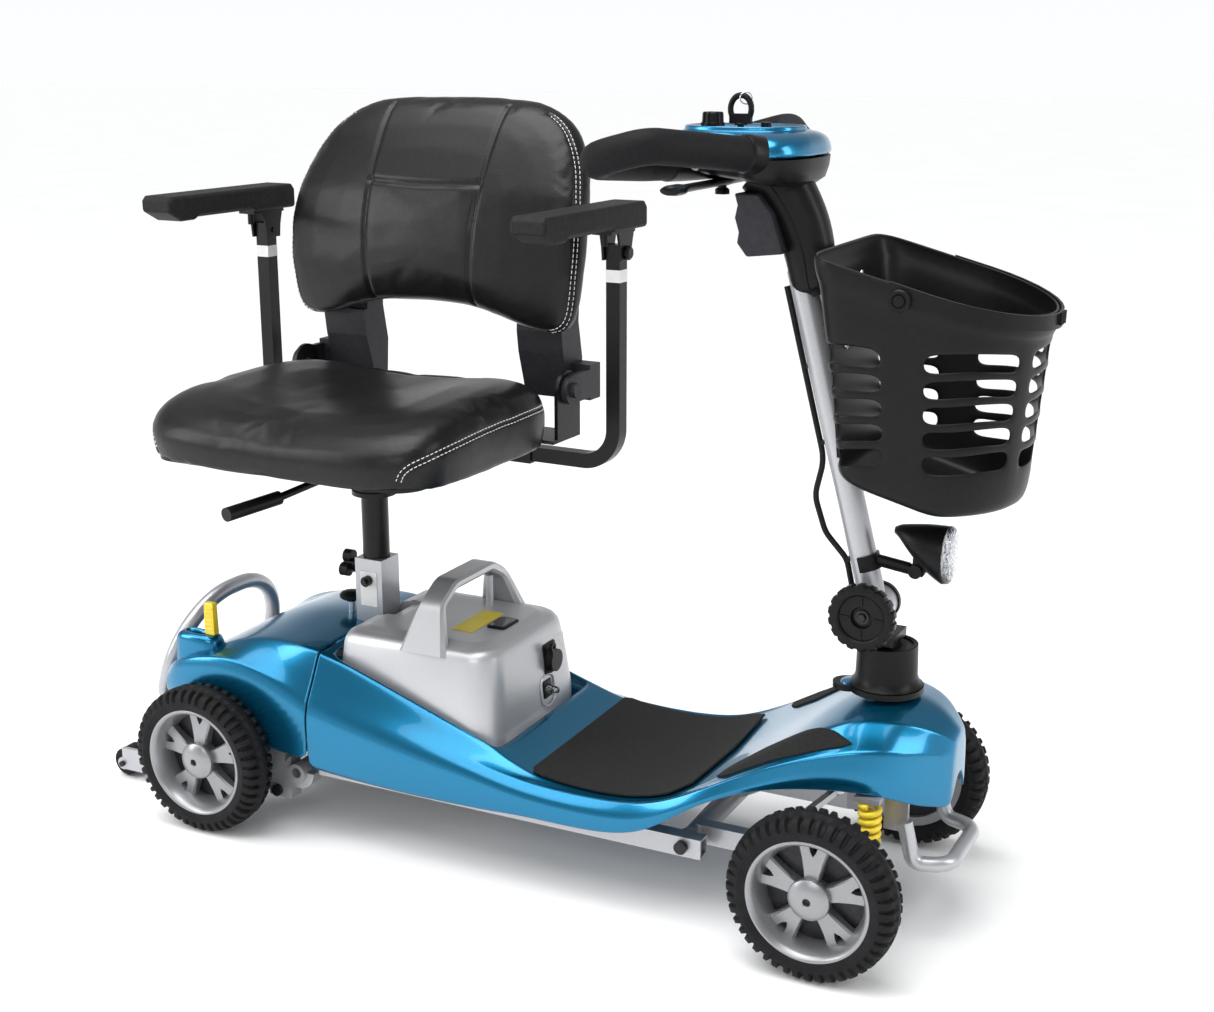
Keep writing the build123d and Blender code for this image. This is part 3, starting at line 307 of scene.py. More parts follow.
def rounded(points, radius, n=8):
    """Straight runs with their corners rounded by smooth curves."""
    pts = [Vector(p) for p in points]
    out = [pts[0]]
    for a, b, c in zip(pts, pts[1:], pts[2:]):
        u, v = (a - b), (c - b)
        ang = u.angle(v)
        d = min(radius / math.tan(ang / 2), u.length * 0.49, v.length * 0.49)
        p, q = b + u.normalized() * d, b + v.normalized() * d
        for k in range(n + 1):
            t = k / n
            out.append(p * (1 - t) ** 2 + b * 2 * t * (1 - t) + q * t * t)
    return out + [pts[-1]]


def y_axis(cx, cy, cz, sign=1):
    """Placing of a shape whose own z points along sign*Y."""
    return lambda p: (cx + p[0], cy + sign * p[2], cz + (p[1] if sign < 0 else -p[1]))


def x_axis(cx, cy, cz):
    """Placing of a shape whose own z points along +X."""
    return lambda p: (cx + p[2], cy + p[0], cz + p[1])


def at(cx, cy, cz):
    """Placing of an upright shape."""
    return lambda p: (cx + p[0], cy + p[1], cz + p[2])


def across_y(p):
    """Placing of an outline drawn in x and z, with its thickness along y."""
    return p[0], p[2], p[1]


def stepped(outline, levels):
    """Rings of one outline; levels are (height, scale)."""
    return [[(x * k, y * k, h) for x, y in outline] for h, k in levels]


def top_of(node):
    """Middle of a node in plan, and its top, in millimetres."""
    lo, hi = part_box(node)
    return (lo.x + hi.x) / 2 / MM, (lo.y + hi.y) / 2 / MM, hi.z / MM


def hexagon(r):
    return [(r * math.cos(math.radians(60 * i)), r * math.sin(math.radians(60 * i)))
            for i in range(6)]


def bolt(shape, move, r=6.5, h=5.0):
    """A hexagon bolt head with its washer, pointing along the placing's z."""
    shape.revolve([(0.01, 0), (r * 1.5, 0), (r * 1.5, 1.6), (0.01, 1.6)], 24, move=move)
    shape.loft([[(x, y, 1.6) for x, y in hexagon(r)], [(x, y, h - 1) for x, y in hexagon(r)],
                [(x * 0.86, y * 0.86, h) for x, y in hexagon(r)]], move=move)


TURN = math.radians(-92)        # the seat faces the rider's right
POST_X = top_of("seat_post")[0]


def seat_place(p):
    """From the seat's own frame (u forwards, v to its left) to the row frame."""
    u, v, z = p
    return (POST_X + u * math.cos(TURN) - v * math.sin(TURN),
            u * math.sin(TURN) + v * math.cos(TURN), z)


PIVOT = Vector((848, 0, 380))   # tiller tilt pivot
LEAN = math.radians(15)         # the tiller leans back by this angle


def along(w, u=0.0, y=0.0):
    """A point w up the tiller tube and u in front of it."""
    return (PIVOT.x - w * math.sin(LEAN) + u * math.cos(LEAN), y,
            PIVOT.z + w * math.cos(LEAN) + u * math.sin(LEAN))


def surface_of(obj):
    """A tree of an object's evaluated surface, in millimetres."""
    deps = bpy.context.evaluated_depsgraph_get()
    deps.update()
    ev = obj.evaluated_get(deps)
    mesh = ev.to_mesh()
    verts = [obj.matrix_world @ v.co / MM for v in mesh.vertices]
    tree = BVHTree.FromPolygons(verts, [tuple(p.vertices) for p in mesh.polygons])
    ev.to_mesh_clear()
    return tree


# ---- camera, floor and light ----------------------------------------------
SENSOR = 36                     # mm
IMAGE_WIDTH = 1214
FOCAL_LENGTH = 1698.4           # on an image IMAGE_WIDTH wide
CAMERA_PLACE = (1.4044, -1.8196, 1.0148)
LOOKS_DOWN, LOOKS_LEFT = 15.32, 26.43   # degrees
cam_data = bpy.data.cameras.new("camera")
cam_data.sensor_width = SENSOR
cam_data.lens = SENSOR * FOCAL_LENGTH / IMAGE_WIDTH
cam = bpy.data.objects.new("camera", cam_data)
cam.location = CAMERA_PLACE
cam.rotation_euler = (math.radians(90 - LOOKS_DOWN), 0, math.radians(LOOKS_LEFT))
scene.collection.objects.link(cam)
scene.camera = cam

REACH = 30                      # metres of floor on every side
floor_mesh = bpy.data.meshes.new("floor")
floor_mesh.from_pydata([(-REACH, -REACH, 0), (REACH, -REACH, 0), (REACH, REACH, 0), (-REACH, REACH, 0)],
                       [], [(0, 1, 2, 3)])
floor_mesh.materials.append(FLOOR)
floor = bpy.data.objects.new("studio_floor", floor_mesh)
scene.collection.objects.link(floor)

world = bpy.data.worlds.new("studio")
scene.world = world
world.use_nodes = True
wn, wl = world.node_tree.nodes, world.node_tree.links
sky = wn.new("ShaderNodeTexCoord")
split = wn.new("ShaderNodeSeparateXYZ")
fade = wn.new("ShaderNodeValToRGB")
stops = fade.color_ramp.elements
for height in (0.1, 0.4):
    stops.new(height)
for stop, value in zip(stops, (1.0, 0.98, 0.34, 0.42)):
    stop.color = (value * 0.98, value * 0.99, value, 1)
wl.new(sky.outputs["Generated"], split.inputs["Vector"])
wl.new(split.outputs["Z"], fade.inputs["Fac"])
wl.new(fade.outputs["Color"], wn["Background"].inputs["Color"])
wn["Background"].inputs["Strength"].default_value = 1.0
scene.view_settings.view_transform = "Standard"


def lamp(name, place, target, size, power):
    """A rectangular soft light that faces its target."""
    data = bpy.data.lights.new(name, "AREA")
    data.shape = "RECTANGLE"
    data.size, data.size_y = size
    data.energy = power
    obj = bpy.data.objects.new(name, data)
    obj.location = place
    obj.rotation_euler = (Vector(target) - Vector(place)).to_track_quat("-Z", "Y").to_euler()
    scene.collection.objects.link(obj)


lamp("top_softbox", (0.2, -0.2, 2.9), (0.4, 0, 0.3), (2.4, 1.5), 30)
lamp("left_softbox", (-1.9, -1.7, 1.5), (0.3, 0, 0.4), (0.8, 1.8), 30)
lamp("right_softbox", (2.9, 0.2, 1.7), (0.5, 0, 0.4), (0.8, 1.8), 22)
lamp("front_softbox", (0.9, -2.8, 1.9), (0.4, 0, 0.4), (1.6, 0.8), 14)
sun_data = bpy.data.lights.new("soft_sun", "SUN")
sun_data.energy = 2.3
sun_data.angle = math.radians(60)
sun = bpy.data.objects.new("soft_sun", sun_data)
sun.rotation_euler = (math.radians(14), math.radians(-10), 0)
scene.collection.objects.link(sun)

# ---- finishes of the nodes that stay as they are --------------------------
FINISH = {
    SILVER: "front_frame rear_frame swing_frame tiller_tube",
    PLASTIC: "steering_boot tube_brackets control_cable post_lock_knob charge_cap rear_pocket",
    GREY_METAL: "shaft_bearings half_shaft_left half_shaft_right knuckle_left knuckle_right "
                "track_rod",
    CAST: "transaxle_case controller",
    BLACK_STEEL: "drive_motor seat_base swivel_lever arm_tube_left arm_tube_right seat_post "
                 "steering_column",
    BOLT: "frame_bolts",
    GREY_PLASTIC: "back_frame",
    CELLS: "battery_cells",
    YELLOW: "freewheel_lever",
    MAT: "floor_mats",
    BLUE: "front_cover rear_cover console_cover",
    SILVER_PLASTIC: "battery_case",
    RUBBER: "anti_tip_wheels tyre_rear_left tyre_rear_right tyre_front_left tyre_front_right",
    RIM_PAINT: "rim_rear_left rim_rear_right rim_front_left rim_front_right",
    FOAM: "hand_grips",
    LEATHER: "seat_cushion back_cushion",
    PU: "arm_pad_left arm_pad_right",
}
chosen = {node: mat for mat, names in FINISH.items() for node in names.split()}
for node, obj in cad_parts.items():
    mat = chosen.get(node, PLASTIC)
    if not obj.material_slots:
        obj.data.materials.append(mat)
    for spot in obj.material_slots:
        spot.material = mat


# ---- wheels ---------------------------------------------------------------
AXLE_Z = 100
LUGS = 44


def tyre_shape(cx, cy, sign):
    """Solid tyre with shoulder lugs and a zigzag centre rib."""
    half = [(71, 21.8), (76, 24.4), (80, 24.9), (81.2, 25.3), (83, 25.3), (84.2, 24.8), (88, 24.9),
            (91.5, 23.8), (95, 21.4), (97.6, 17.5), (98.9, 12.5), (99.4, 9.5), (99.6, 6.5),
            (99.9, 3), (100, 0)]
    profile = half + [(r, -h) for r, h in reversed(half[:-1])]

    def cut(r, h, a):
        turn = (a / (2 * math.pi) * LUGS + (0.5 if h < 0 else 0)) % 1
        zig = 1.4 * (1 if turn < 0.5 else -1)
        edge = abs(h) - 9.5 - zig
        if r > 87 and edge > 0 and turn > 0.66:
            return r - 4.6, h * 0.93
        if 5.5 < abs(h) < 10.5 and r > 98:
            return r - 2.8, h + (zig if h > 0 else -zig)
        return r, h

    shape = Shape()
    shape.revolve(profile, LUGS * 6, shape=cut, move=y_axis(cx, cy, AXLE_Z, sign))
    return shape


def rim_shape(cx, cy, sign):
    """Rolled rim, five flared spokes with a notch, and a domed hub cap."""
    move = y_axis(cx, cy, AXLE_Z, sign)
    shape = Shape()
    shape.revolve([(60, -21), (71, -22), (72.5, -20), (70, -14), (66, -8), (66, 6), (69, 15),
                   (72.6, 19), (73.4, 21.4), (72.4, 23.2), (70.4, 23.6), (68.2, 22.4), (65.5, 17.5),
                   (62.5, 10), (59.8, 2), (58.6, -6), (58.4, -14), (60, -21)], 96, move=move)
    for i in range(5):
        a0 = math.radians(90 + 72 * i)
        outline = [(14, -8), (30, -10.5), (46, -15), (60, -20), (60.5, -13), (60.5, -6.5), (53, -4.2),
                   (47.5, 0), (53, 4.2), (60.5, 6.5), (60.5, 13), (60, 20), (46, 15), (30, 10.5), (14, 8)]
        rings = []
        for h, k in ((-7, 1.0), (1.5, 1.0), (4.2, 0.84)):
            ring = []
            for x, y in outline:
                rise = 5.5 * max(0.0, 1 - (x - 14) / 42)
                yy = y * (k if abs(y) > 0.1 else 1)
                ring.append((x * math.cos(a0) - yy * math.sin(a0),
                             x * math.sin(a0) + yy * math.cos(a0), h + (rise if h > 1 else 0)))
            rings.append(ring)
        shape.loft(rings, move=move)
    shape.revolve([(0.01, -20), (17, -20), (19, -10), (21, 2), (24, 9), (25, 13.5), (24.2, 16.4),
                   (20, 19.6), (12, 21.9), (5.2, 22.8), (4.6, 22.2), (4.2, 17.5), (0.01, 17.5)], 48,
                  move=move)
    return shape


for node, sign in (("rear_left", 1), ("rear_right", -1), ("front_left", 1), ("front_right", -1)):
    cx, cy, _ = top_of("tyre_" + node)
    tyre = tyre_shape(cx, cy, sign)
    piece(f"tread_{node}", tyre, RUBBER, f"wheel_{node}",
          [f"tyre_{node}"], angle=40)
    rim = rim_shape(cx, cy, sign)
    piece(f"spoked_rim_{node}", rim, RIM_PAINT, f"wheel_{node}",
          [f"rim_{node}"], bevel=0.9, angle=40)
    # Near-black discs: the one behind the spokes paints the shade inside the wheel between the spokes, and
    # also stands for the dark hub drum there; the small one sits at the bottom of the hub cap's centre hole.
    dark = Shape()
    facing = y_axis(cx, cy, AXLE_Z, sign)
    dark.revolve([(18, -16), (61, -16), (61, -9), (19, -6)], 48, move=facing)
    dark.revolve([(0.01, 17.6), (4.1, 17.6), (4.1, 19), (0.01, 19)], 20, move=facing)
    piece(f"hub_shade_disc_{node}", dark, BOLT, f"wheel_{node}")

# ---- blue covers ----------------------------------------------------------
# x, half width, skirt bottom, skirt top, crest y and z, shoulder y and z, middle z
FRONT_ROWS = [
    (149, 167, 104, 180, 160, 193, 130, 250, 252), (158, 167, 103.5, 179, 160, 192, 130, 248, 250),
    (200, 167, 100, 172, 158, 186, 130, 236, 238), (300, 166, 96, 156, 155, 168, 130, 202, 204),
    (402, 165, 98, 142, 152, 151, 130, 168, 169), (412, 165, 98, 140, 152, 149, 132, 164, 165),
    (470, 165, 102, 130, 151, 140, 138, 141, 140), (560, 165, 100, 128, 151, 138, 138, 136, 135),
    (625, 163, 110, 132, 152, 145, 138, 143, 142), (676, 160, 150, 160, 152, 168, 134, 166, 163),
    (720, 154, 174, 182, 148, 192, 126, 196, 190), (768, 147, 191, 202, 143, 216, 112, 226, 224),
    (811, 138, 197, 216, 134, 232, 96, 252, 258), (860, 128, 200, 222, 122, 246, 82, 270, 281),
    (900, 112, 195, 218, 106, 246, 70, 268, 280), (925, 84, 178, 208, 78, 238, 56, 262, 272),
    (942, 58, 168, 196, 54, 230, 40, 252, 262), (956, 34, 160, 188, 32, 222, 24, 240, 248)]
REAR_ROWS = [
    (-94, 150, 160, 186, 140, 195, 112, 193, 190), (-76, 158, 154, 201, 152, 210, 114, 204, 201),
    (-50, 163, 148, 212, 158, 221, 116, 219, 219), (0, 164, 122, 220, 158, 231, 120, 240, 249),
    (40, 164, 120, 217, 158, 228, 121, 250, 261), (80, 164, 117, 208, 158, 219, 123, 254, 265),
    (120, 165, 114, 192, 158, 204, 128, 254, 264), (146, 166, 112, 182, 158, 194, 129, 251, 260)]


def cover_ring(row):
    """One right-hand half of a row, from the skirt's bottom to the middle."""
    x, w, zb, zs, yc, zc, yi, zi, zt = row
    points = [(w - 2, zb), (w, (zb + zs) / 2), (w, zs - 3), (yc, zc),
              ((yc + yi) / 2, (zc + zi) / 2 - 1.5), (yi, zi),
              (126.4 * yi / 130, zi * 0.9 + zt * 0.1 + 0.2), (yi * 0.5, zi * 0.45 + zt * 0.55),
              (0, zt)]
    return [(x, -y, z) for y, z in points]


def cover_grid(rows, hole=None, nose=False):
    """Skin of a cover over its rows; hole(middle of a face) leaves faces out."""
    rings = []
    for row in rows:
        right = cover_ring(row)
        left = [(x, -y, z) for x, y, z in reversed(right[:-1])]
        rings.append(right + left)
    if nose:
        last = rings[-1]
        zm = sum(p[2] for p in last) / len(last)
        rings.append([(x + 2.6, y * 0.8, zm + (z - zm) * 0.85) for x, y, z in last])
        rings.append([(x + 3.0, y * 0.3, zm + (z - zm) * 0.35) for x, y, z in last])
    n = len(rings[0])
    verts = [p for ring in rings for p in ring]
    faces = []
    for k in range(len(rings) - 1):
        for i in range(n - 1):
            face = (k * n + i, k * n + i + 1, (k + 1) * n + i + 1, (k + 1) * n + i)
            mid = sum((Vector(verts[j]) for j in face), Vector()) / 4
            if not (hole and hole(mid)):
                faces.append(face)
    if nose:
        start = (len(rings) - 1) * n
        faces.append(tuple(range(start, start + n)))
    return Shape().add(verts, faces)


def crease_rows(table):
    """Creases along the crest line and the open edges."""
    crest = {round(row[0], 1): (row[4], row[5]) for row in table}

    def value(a, b, edge):
        if len(edge.link_faces) < 2:
            return 1.0
        hits = 0
        for p in (a, b):
            row = crest.get(round(p.x, 1))
            if row and abs(abs(p.y) - row[0]) < 0.6 and abs(p.z - row[1]) < 0.6:
                hits += 1
        return 0.55 if hits == 2 else 0.0

    return value


def under_battery(middle):
    return 158 < middle.x < 412 and abs(middle.y) < 126 and middle.z > 140


front_cover = piece("front_cover_shell", cover_grid(FRONT_ROWS, under_battery, nose=True), BLUE,
                    "chassis", ["front_cover"], sub=3, solid=3,
                    creases=crease_rows(FRONT_ROWS))
piece("rear_cover_shell", cover_grid(REAR_ROWS), BLUE, "chassis", ["rear_cover"],
      sub=3, solid=3, creases=crease_rows(REAR_ROWS))
slot_box = Shape()
rings = []
for z, grow, front in ((168, 2.0, 6), (200, 1.0, 2), (232, 0.0, -4), (240, -0.8, -6),
                       (244.5, -3.4, -9), (246, -8, -14), (246, -12, -24), (228, -12.2, -24)):
    x0, x1, y0, y1 = -86 - grow, -16 + front, -140 - grow, -104 + grow
    rings.append([(x, y, z + (x + 86) * -0.03) for x, y in (
        (x0, y0 + 5), (x0 + 5, y0), (x1 - 9, y0), (x1, y0 + 8), (x1, y1 - 6), (x1 - 6, y1),
        (x0 + 5, y1), (x0, y1 - 5))])
slot_box.loft(rings, caps=False)
piece("lever_box", slot_box, BLUE, "chassis", sub=1, angle=50)
grip = Shape()
gx, gy, gz = top_of("freewheel_lever")
grip.loft([[(gx + sx * w, gy + sy * d, z) for sx, sy in ((-1, -1), (1, -1), (1, 1), (-1, 1))]
           for z, w, d in ((gz - 93, 5, 4), (gz - 46, 5, 4), (gz - 44, 8.2, 5.4), (gz - 2, 7.6, 5),
                           (gz, 6, 3.6))])
for k in range(6):
    grip.box((gx - 6, gy - 6.2, gz - 38 + 6 * k), (gx + 6, gy + 6.2, gz - 36 + 6 * k))
piece("freewheel_grip", grip, YELLOW, "freewheel", ["freewheel_lever"],
      bevel=1.0)

# ---- floor mats: gritty rubber laid on the deck ------------------------------
deck = surface_of(front_cover)


def mat_piece(name, outline):
    """A mat with the given plan outline, cut into a grid and dropped onto the deck."""
    bm = bmesh.new()
    bm.faces.new([bm.verts.new((x, y, 0)) for x, y in outline])
    for axis, lo, hi in ((0, 440, 900), (1, -160, 160)):
        for step in range(lo, hi, 9):
            normal = (1, 0, 0) if axis == 0 else (0, 1, 0)
            spot = (step, 0, 0) if axis == 0 else (0, step, 0)
            bmesh.ops.bisect_plane(bm, geom=bm.verts[:] + bm.edges[:] + bm.faces[:],
                                   plane_co=spot, plane_no=normal)
    bm.verts.ensure_lookup_table()
    for v in bm.verts:
        hit = deck.ray_cast(Vector((v.co.x, v.co.y, 400)), Vector((0, 0, -1)))[0]
        v.co.z = (hit.z if hit else 140) + 2.6
    bm.verts.index_update()
    verts = [tuple(v.co) for v in bm.verts]
    faces = [tuple(v.index for v in f.verts) for f in bm.faces]
    bm.free()
    piece(name, Shape().add(verts, faces), MAT, "chassis", ["floor_mats"], solid=2.4,
          bevel=0.8)


mat_piece("deck_mat", [(462, -128), (470, -136), (560, -137), (650, -135), (672, -118), (678, 0),
                       (672, 118), (650, 135), (560, 137), (470, 136), (462, 128)])
toe = [(706, 128), (709, 112), (720, 97), (750, 84), (800, 86), (838, 97), (862, 109), (850, 116),
       (800, 128), (750, 134), (720, 136)]
mat_piece("toe_mat_left", toe)
mat_piece("toe_mat_right", [(x, -y) for x, y in reversed(toe)])


# ---- cushions ------------------------------------------------------------------
def inflate(obj, voxel, pressure, cap, keep=None):
    """Remesh, swell with cloth pressure, and hold each point within cap mm of its place."""
    bpy.context.view_layer.objects.active = obj
    remesh = obj.modifiers.new("remesh", "REMESH")
    remesh.mode = "VOXEL"
    remesh.voxel_size = voxel * MM
    bpy.ops.object.modifier_apply(modifier="remesh")
    mesh = obj.data
    rest = [v.co.copy() for v in mesh.vertices]
    cloth = obj.modifiers.new("cloth", "CLOTH")
    cloth.settings.use_pressure = True
    cloth.settings.uniform_pressure_force = pressure
    cloth.settings.effector_weights.gravity = 0
    cloth.settings.quality = 4
    cloth.point_cache.frame_start = 1
    cloth.point_cache.frame_end = 20
    for number in range(1, 21):
        scene.frame_set(number)
    ev = obj.evaluated_get(bpy.context.evaluated_depsgraph_get())
    swollen = [v.co.copy() for v in ev.data.vertices]
    obj.modifiers.remove(cloth)
    scene.frame_set(1)
    for v, a, b in zip(mesh.vertices, rest, swollen):
        d = b - a
        if d.length > cap * MM:
            d = d.normalized() * cap * MM
        v.co = a + d
    if keep:
        for v in mesh.vertices:
            keep(v)
    for poly in mesh.polygons:
        poly.use_smooth = True
    mesh.update()


def subdivide(obj):
    """One applied subdivision, so narrow seams have points to move."""
    bpy.context.view_layer.objects.active = obj
    mod = obj.modifiers.new("smooth", "SUBSURF")
    mod.levels = 1
    bpy.ops.object.modifier_apply(modifier="smooth")


def press_seams(obj, tree, lines, depth, width):
    """Sink the surface along the seam lines (row-frame points in mm), dropped onto the tree."""
    mesh = obj.data
    lines = [[tree.find_nearest(p)[0] for p in line] for line in lines]
    segments = [(a * MM, b * MM) for line in lines for a, b in zip(line, line[1:])]
    boxes = [(min(a.x, b.x), max(a.x, b.x), min(a.z, b.z), max(a.z, b.z)) for a, b in segments]
    reach = width * 2.5 * MM
    normals = [v.normal.copy() for v in mesh.vertices]
    for v, normal in zip(mesh.vertices, normals):
        p, best = v.co, 1.0
        for (a, b), (x0, x1, z0, z1) in zip(segments, boxes):
            if not (x0 - reach < p.x < x1 + reach and z0 - reach < p.z < z1 + reach):
                continue
            q, t = intersect_point_line(p, a, b)
            q = a + (b - a) * min(1.0, max(0.0, t))
            best = min(best, (p - q).length)
        if best < reach:
            v.co = p - normal * depth * MM * math.exp(-(best / (width * MM)) ** 2)
    mesh.update()


def on_surface(tree, line, step=2.0):
    """Even points along a line, dropped onto the surface, with their normals."""
    pts = [Vector(p) for p in line]
    out, carry = [], 0.0
    for a, b in zip(pts, pts[1:]):
        length = (b - a).length
        d = carry
        while d < length:
            hit, normal, _, _ = tree.find_nearest(a + (b - a) * (d / length))
            if hit:
                out.append((hit, normal))
            d += step
        carry = d - length
    return out


def stitches(shape, tree, line, offset, length=4.4, gap=2.6, r=0.55):
    """A row of raised thread dashes beside a seam."""
    pts = on_surface(tree, line, 1.0)
    smooth = []
    for k in range(len(pts)):
        near = pts[max(0, k - 9):k + 10]
        smooth.append((sum((p for p, _ in near), Vector()) / len(near),
                       sum((n for _, n in near), Vector()).normalized()))
    k, period = 0, int(length + gap)
    while k + int(length) < len(smooth):
        p, normal = smooth[k]
        t = smooth[k + int(length)][0] - p
        if 1.5 < t.length < 9:
            side = t.normalized().cross(normal)
            row = [tree.find_nearest(p + side * offset + t * f)[:2]
                   for f in (0, 0.15, 0.5, 0.85, 1)]
            shape.tube([q + n * h for (q, n), h in zip(row, (-0.4, 0.2, 0.4, 0.2, -0.4))], r, 6)
        k += period


def plan_ring(scale, z, n=72):
    """Rounded-rectangle ring of the seat with softly bowed sides."""
    ring = []
    for a in angles(n):
        c, s = math.cos(a), math.sin(a)
        u = 45 + 178 * scale * math.copysign(abs(c) ** 0.42, c)
        v = 226 * scale * math.copysign(abs(s) ** 0.36, s)
        fall = max(0.0, (u - 95) / 128)
        top = max(0.0, (z - 520) / 58)
        dish = -11 * math.exp(-(v / 95) ** 2 - ((u - 60) / 150) ** 2) * top
        wing = 7 * math.exp(-((abs(v) - 150) / 60) ** 2 - ((u + 20) / 110) ** 2) * top
        ring.append((u, v, z - 26 * fall * fall * top + dish + wing))
    return ring


seat = Shape()
seat.loft([plan_ring(k, z) for k, z in (
    (0.05, 510), (0.5, 510), (0.9, 509.5), (0.955, 508), (0.962, 500), (0.975, 499), (0.99, 501),
    (1.0, 512), (1.01, 528), (1.01, 546), (0.99, 561), (0.965, 569), (0.93, 574), (0.87, 577),
    (0.75, 578.5), (0.55, 578.5), (0.3, 578), (0.05, 578))])
cushion = piece("seat_pad", seat, LEATHER, None, place=seat_place)
seat_floor = 508.4 * MM


def rest_on_pan(v):
    """Keep the underside above the seat pan and the hinge ears."""
    x, y = v.co.x / MM - POST_X, v.co.y / MM
    u, w = x * math.cos(TURN) + y * math.sin(TURN), -x * math.sin(TURN) + y * math.cos(TURN)
    if u < -94 or (abs(w) < 201 and u < 209):
        v.co.z = max(v.co.z, seat_floor)


inflate(cushion, 6, 4.0, 5.0, rest_on_pan)
subdivide(cushion)
seam_paths = []
for s in (1, -1):
    seam_paths.append([Vector(seat_place(p)) for p in smooth_line(
        [(-112, s * 229, 562), (-40, s * 230, 561), (60, s * 230, 559), (140, s * 227, 553),
         (184, s * 217, 545), (206, s * 204, 536), (217, s * 197, 524), (220, s * 194, 508)], 8)])
cushion_tree = surface_of(cushion)
press_seams(cushion, cushion_tree, seam_paths, 2.2, 2.6)
cross = [Vector(seat_place(p)) for p in smooth_line(
    [(-96, -190, 578), (-92, 0, 574), (-96, 190, 578)], 6)]
press_seams(cushion, cushion_tree, [cross], 2.5, 5)
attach(cushion, "seat")
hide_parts("seat_cushion")
thread = Shape()
for line in seam_paths:
    for offset in (-3.0, 3.0):
        stitches(thread, cushion_tree, line, offset)
piece("seat_stitching", thread, THREAD, "seat")

# backrest: profile (u against z) and outline (v against height)
BACK_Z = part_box("back_cushion")[0].z / MM
FRONT_LINE = [(648, -122), (720, -118), (775, -124), (820, -138), (890, -174), (946, -212)]
REAR_LINE = [(648, -168), (720, -178), (775, -188), (820, -203), (890, -237), (946, -262)]


def profile_u(table, z):
    """u of a side line at a height."""
    z = min(max(z, table[0][0]), table[-1][0])
    for (z0, u0), (z1, u1) in zip(table, table[1:]):
        if z <= z1:
            return u0 + (u1 - u0) * (z - z0) / (z1 - z0)


edge = [(0, 20), (70, 17), (120, 6), (165, -5), (206, -7), (227, 10), (236, 55), (239, 110),
        (235, 165), (221, 215), (192, 258), (145, 284), (90, 294), (0, 297)]
edge += [(-v, h) for v, h in reversed(edge[1:-1])]
closed = edge[-2:] + edge + edge[:2]
edge_points = [(p[0], p[1]) for p in smooth_line([(v, h, 0) for v, h in closed], 4)[8:-8]]


def back_ring(scale, depth, swell):
    """The back's outline at a scale; depth goes from its front (0) to its rear (1)."""
    ring = []
    for v, h in edge_points:
        vv, hh = v * scale, 140 + (h - 140) * scale
        z = BACK_Z + hh
        front, rear = profile_u(FRONT_LINE, z), profile_u(REAR_LINE, z)
        u = front + (rear - front) * depth + swell * (1 - scale * scale)
        u -= 10 * (vv / 226) ** 2 * (1 - depth)
        ring.append((u, vv, z))
    return ring


back = Shape()
back.loft([back_ring(*row) for row in (
    (0.04, 0, 7), (0.3, 0, 7), (0.55, 0, 7), (0.75, 0, 6), (0.87, 0.03, 5), (0.94, 0.1, 3),
    (0.98, 0.24, 0), (0.995, 0.42, 0), (0.995, 0.62, 0), (0.98, 0.8, 0), (0.94, 0.93, 0),
    (0.85, 0.99, 0), (0.5, 0.99, 0), (0.04, 0.99, 0))])
back_pad = piece("back_pad", back, LEATHER, None, place=seat_place)
inflate(back_pad, 6, 4.0, 4.5)
subdivide(back_pad)
panel_lines, trim_lines = [], []
for s in (1, -1):
    panel_lines.append([Vector(seat_place((profile_u(FRONT_LINE, z) + 5, s * (80 + (z - 648) * 0.045), z)))
                        for z in range(662, 944, 10)])
    trim_lines.append([Vector(seat_place((u, v, z))) for u, v, z in
                       [p for p in back_ring(0.965, 0.17, 0) if p[1] * s > 60 and p[2] < 925]])
panel_lines.append([Vector(seat_place((profile_u(FRONT_LINE, 832) + 8, v, 834 - 5 * math.cos(v / 60))))
                    for v in range(-87, 88, 6)])
back_tree = surface_of(back_pad)


def ordered(points):
    """The same points in one run, starting at the lowest."""
    rest = list(points)
    run = [min(rest, key=lambda p: p.z)]
    rest.remove(run[0])
    while rest:
        nearest = min(rest, key=lambda p: (p - run[-1]).length)
        if (nearest - run[-1]).length > 40:
            break
        run.append(nearest)
        rest.remove(nearest)
    return run


trim_lines = [ordered(line) for line in trim_lines]
press_seams(back_pad, back_tree, panel_lines[:2], 3.0, 2.4)
press_seams(back_pad, back_tree, panel_lines[2:], 4.0, 3.4)
press_seams(back_pad, back_tree, trim_lines, 2.0, 2.2)
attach(back_pad, "backrest")
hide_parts("back_cushion")
thread = Shape()
for line in trim_lines:
    for offset in (-3.0, 3.0):
        stitches(thread, back_tree, line, offset)
piece("back_stitching", thread, THREAD, "backrest")

# arm pads: drawn in u and z, with their width across
ARM_U, ARM_Z, ARM_V = -150, 754, 285


def pad_place(s):
    """Placing of an arm part beside the seat, on its left for s 1."""
    return lambda p: seat_place((p[0], s * ARM_V + p[2], p[1]))


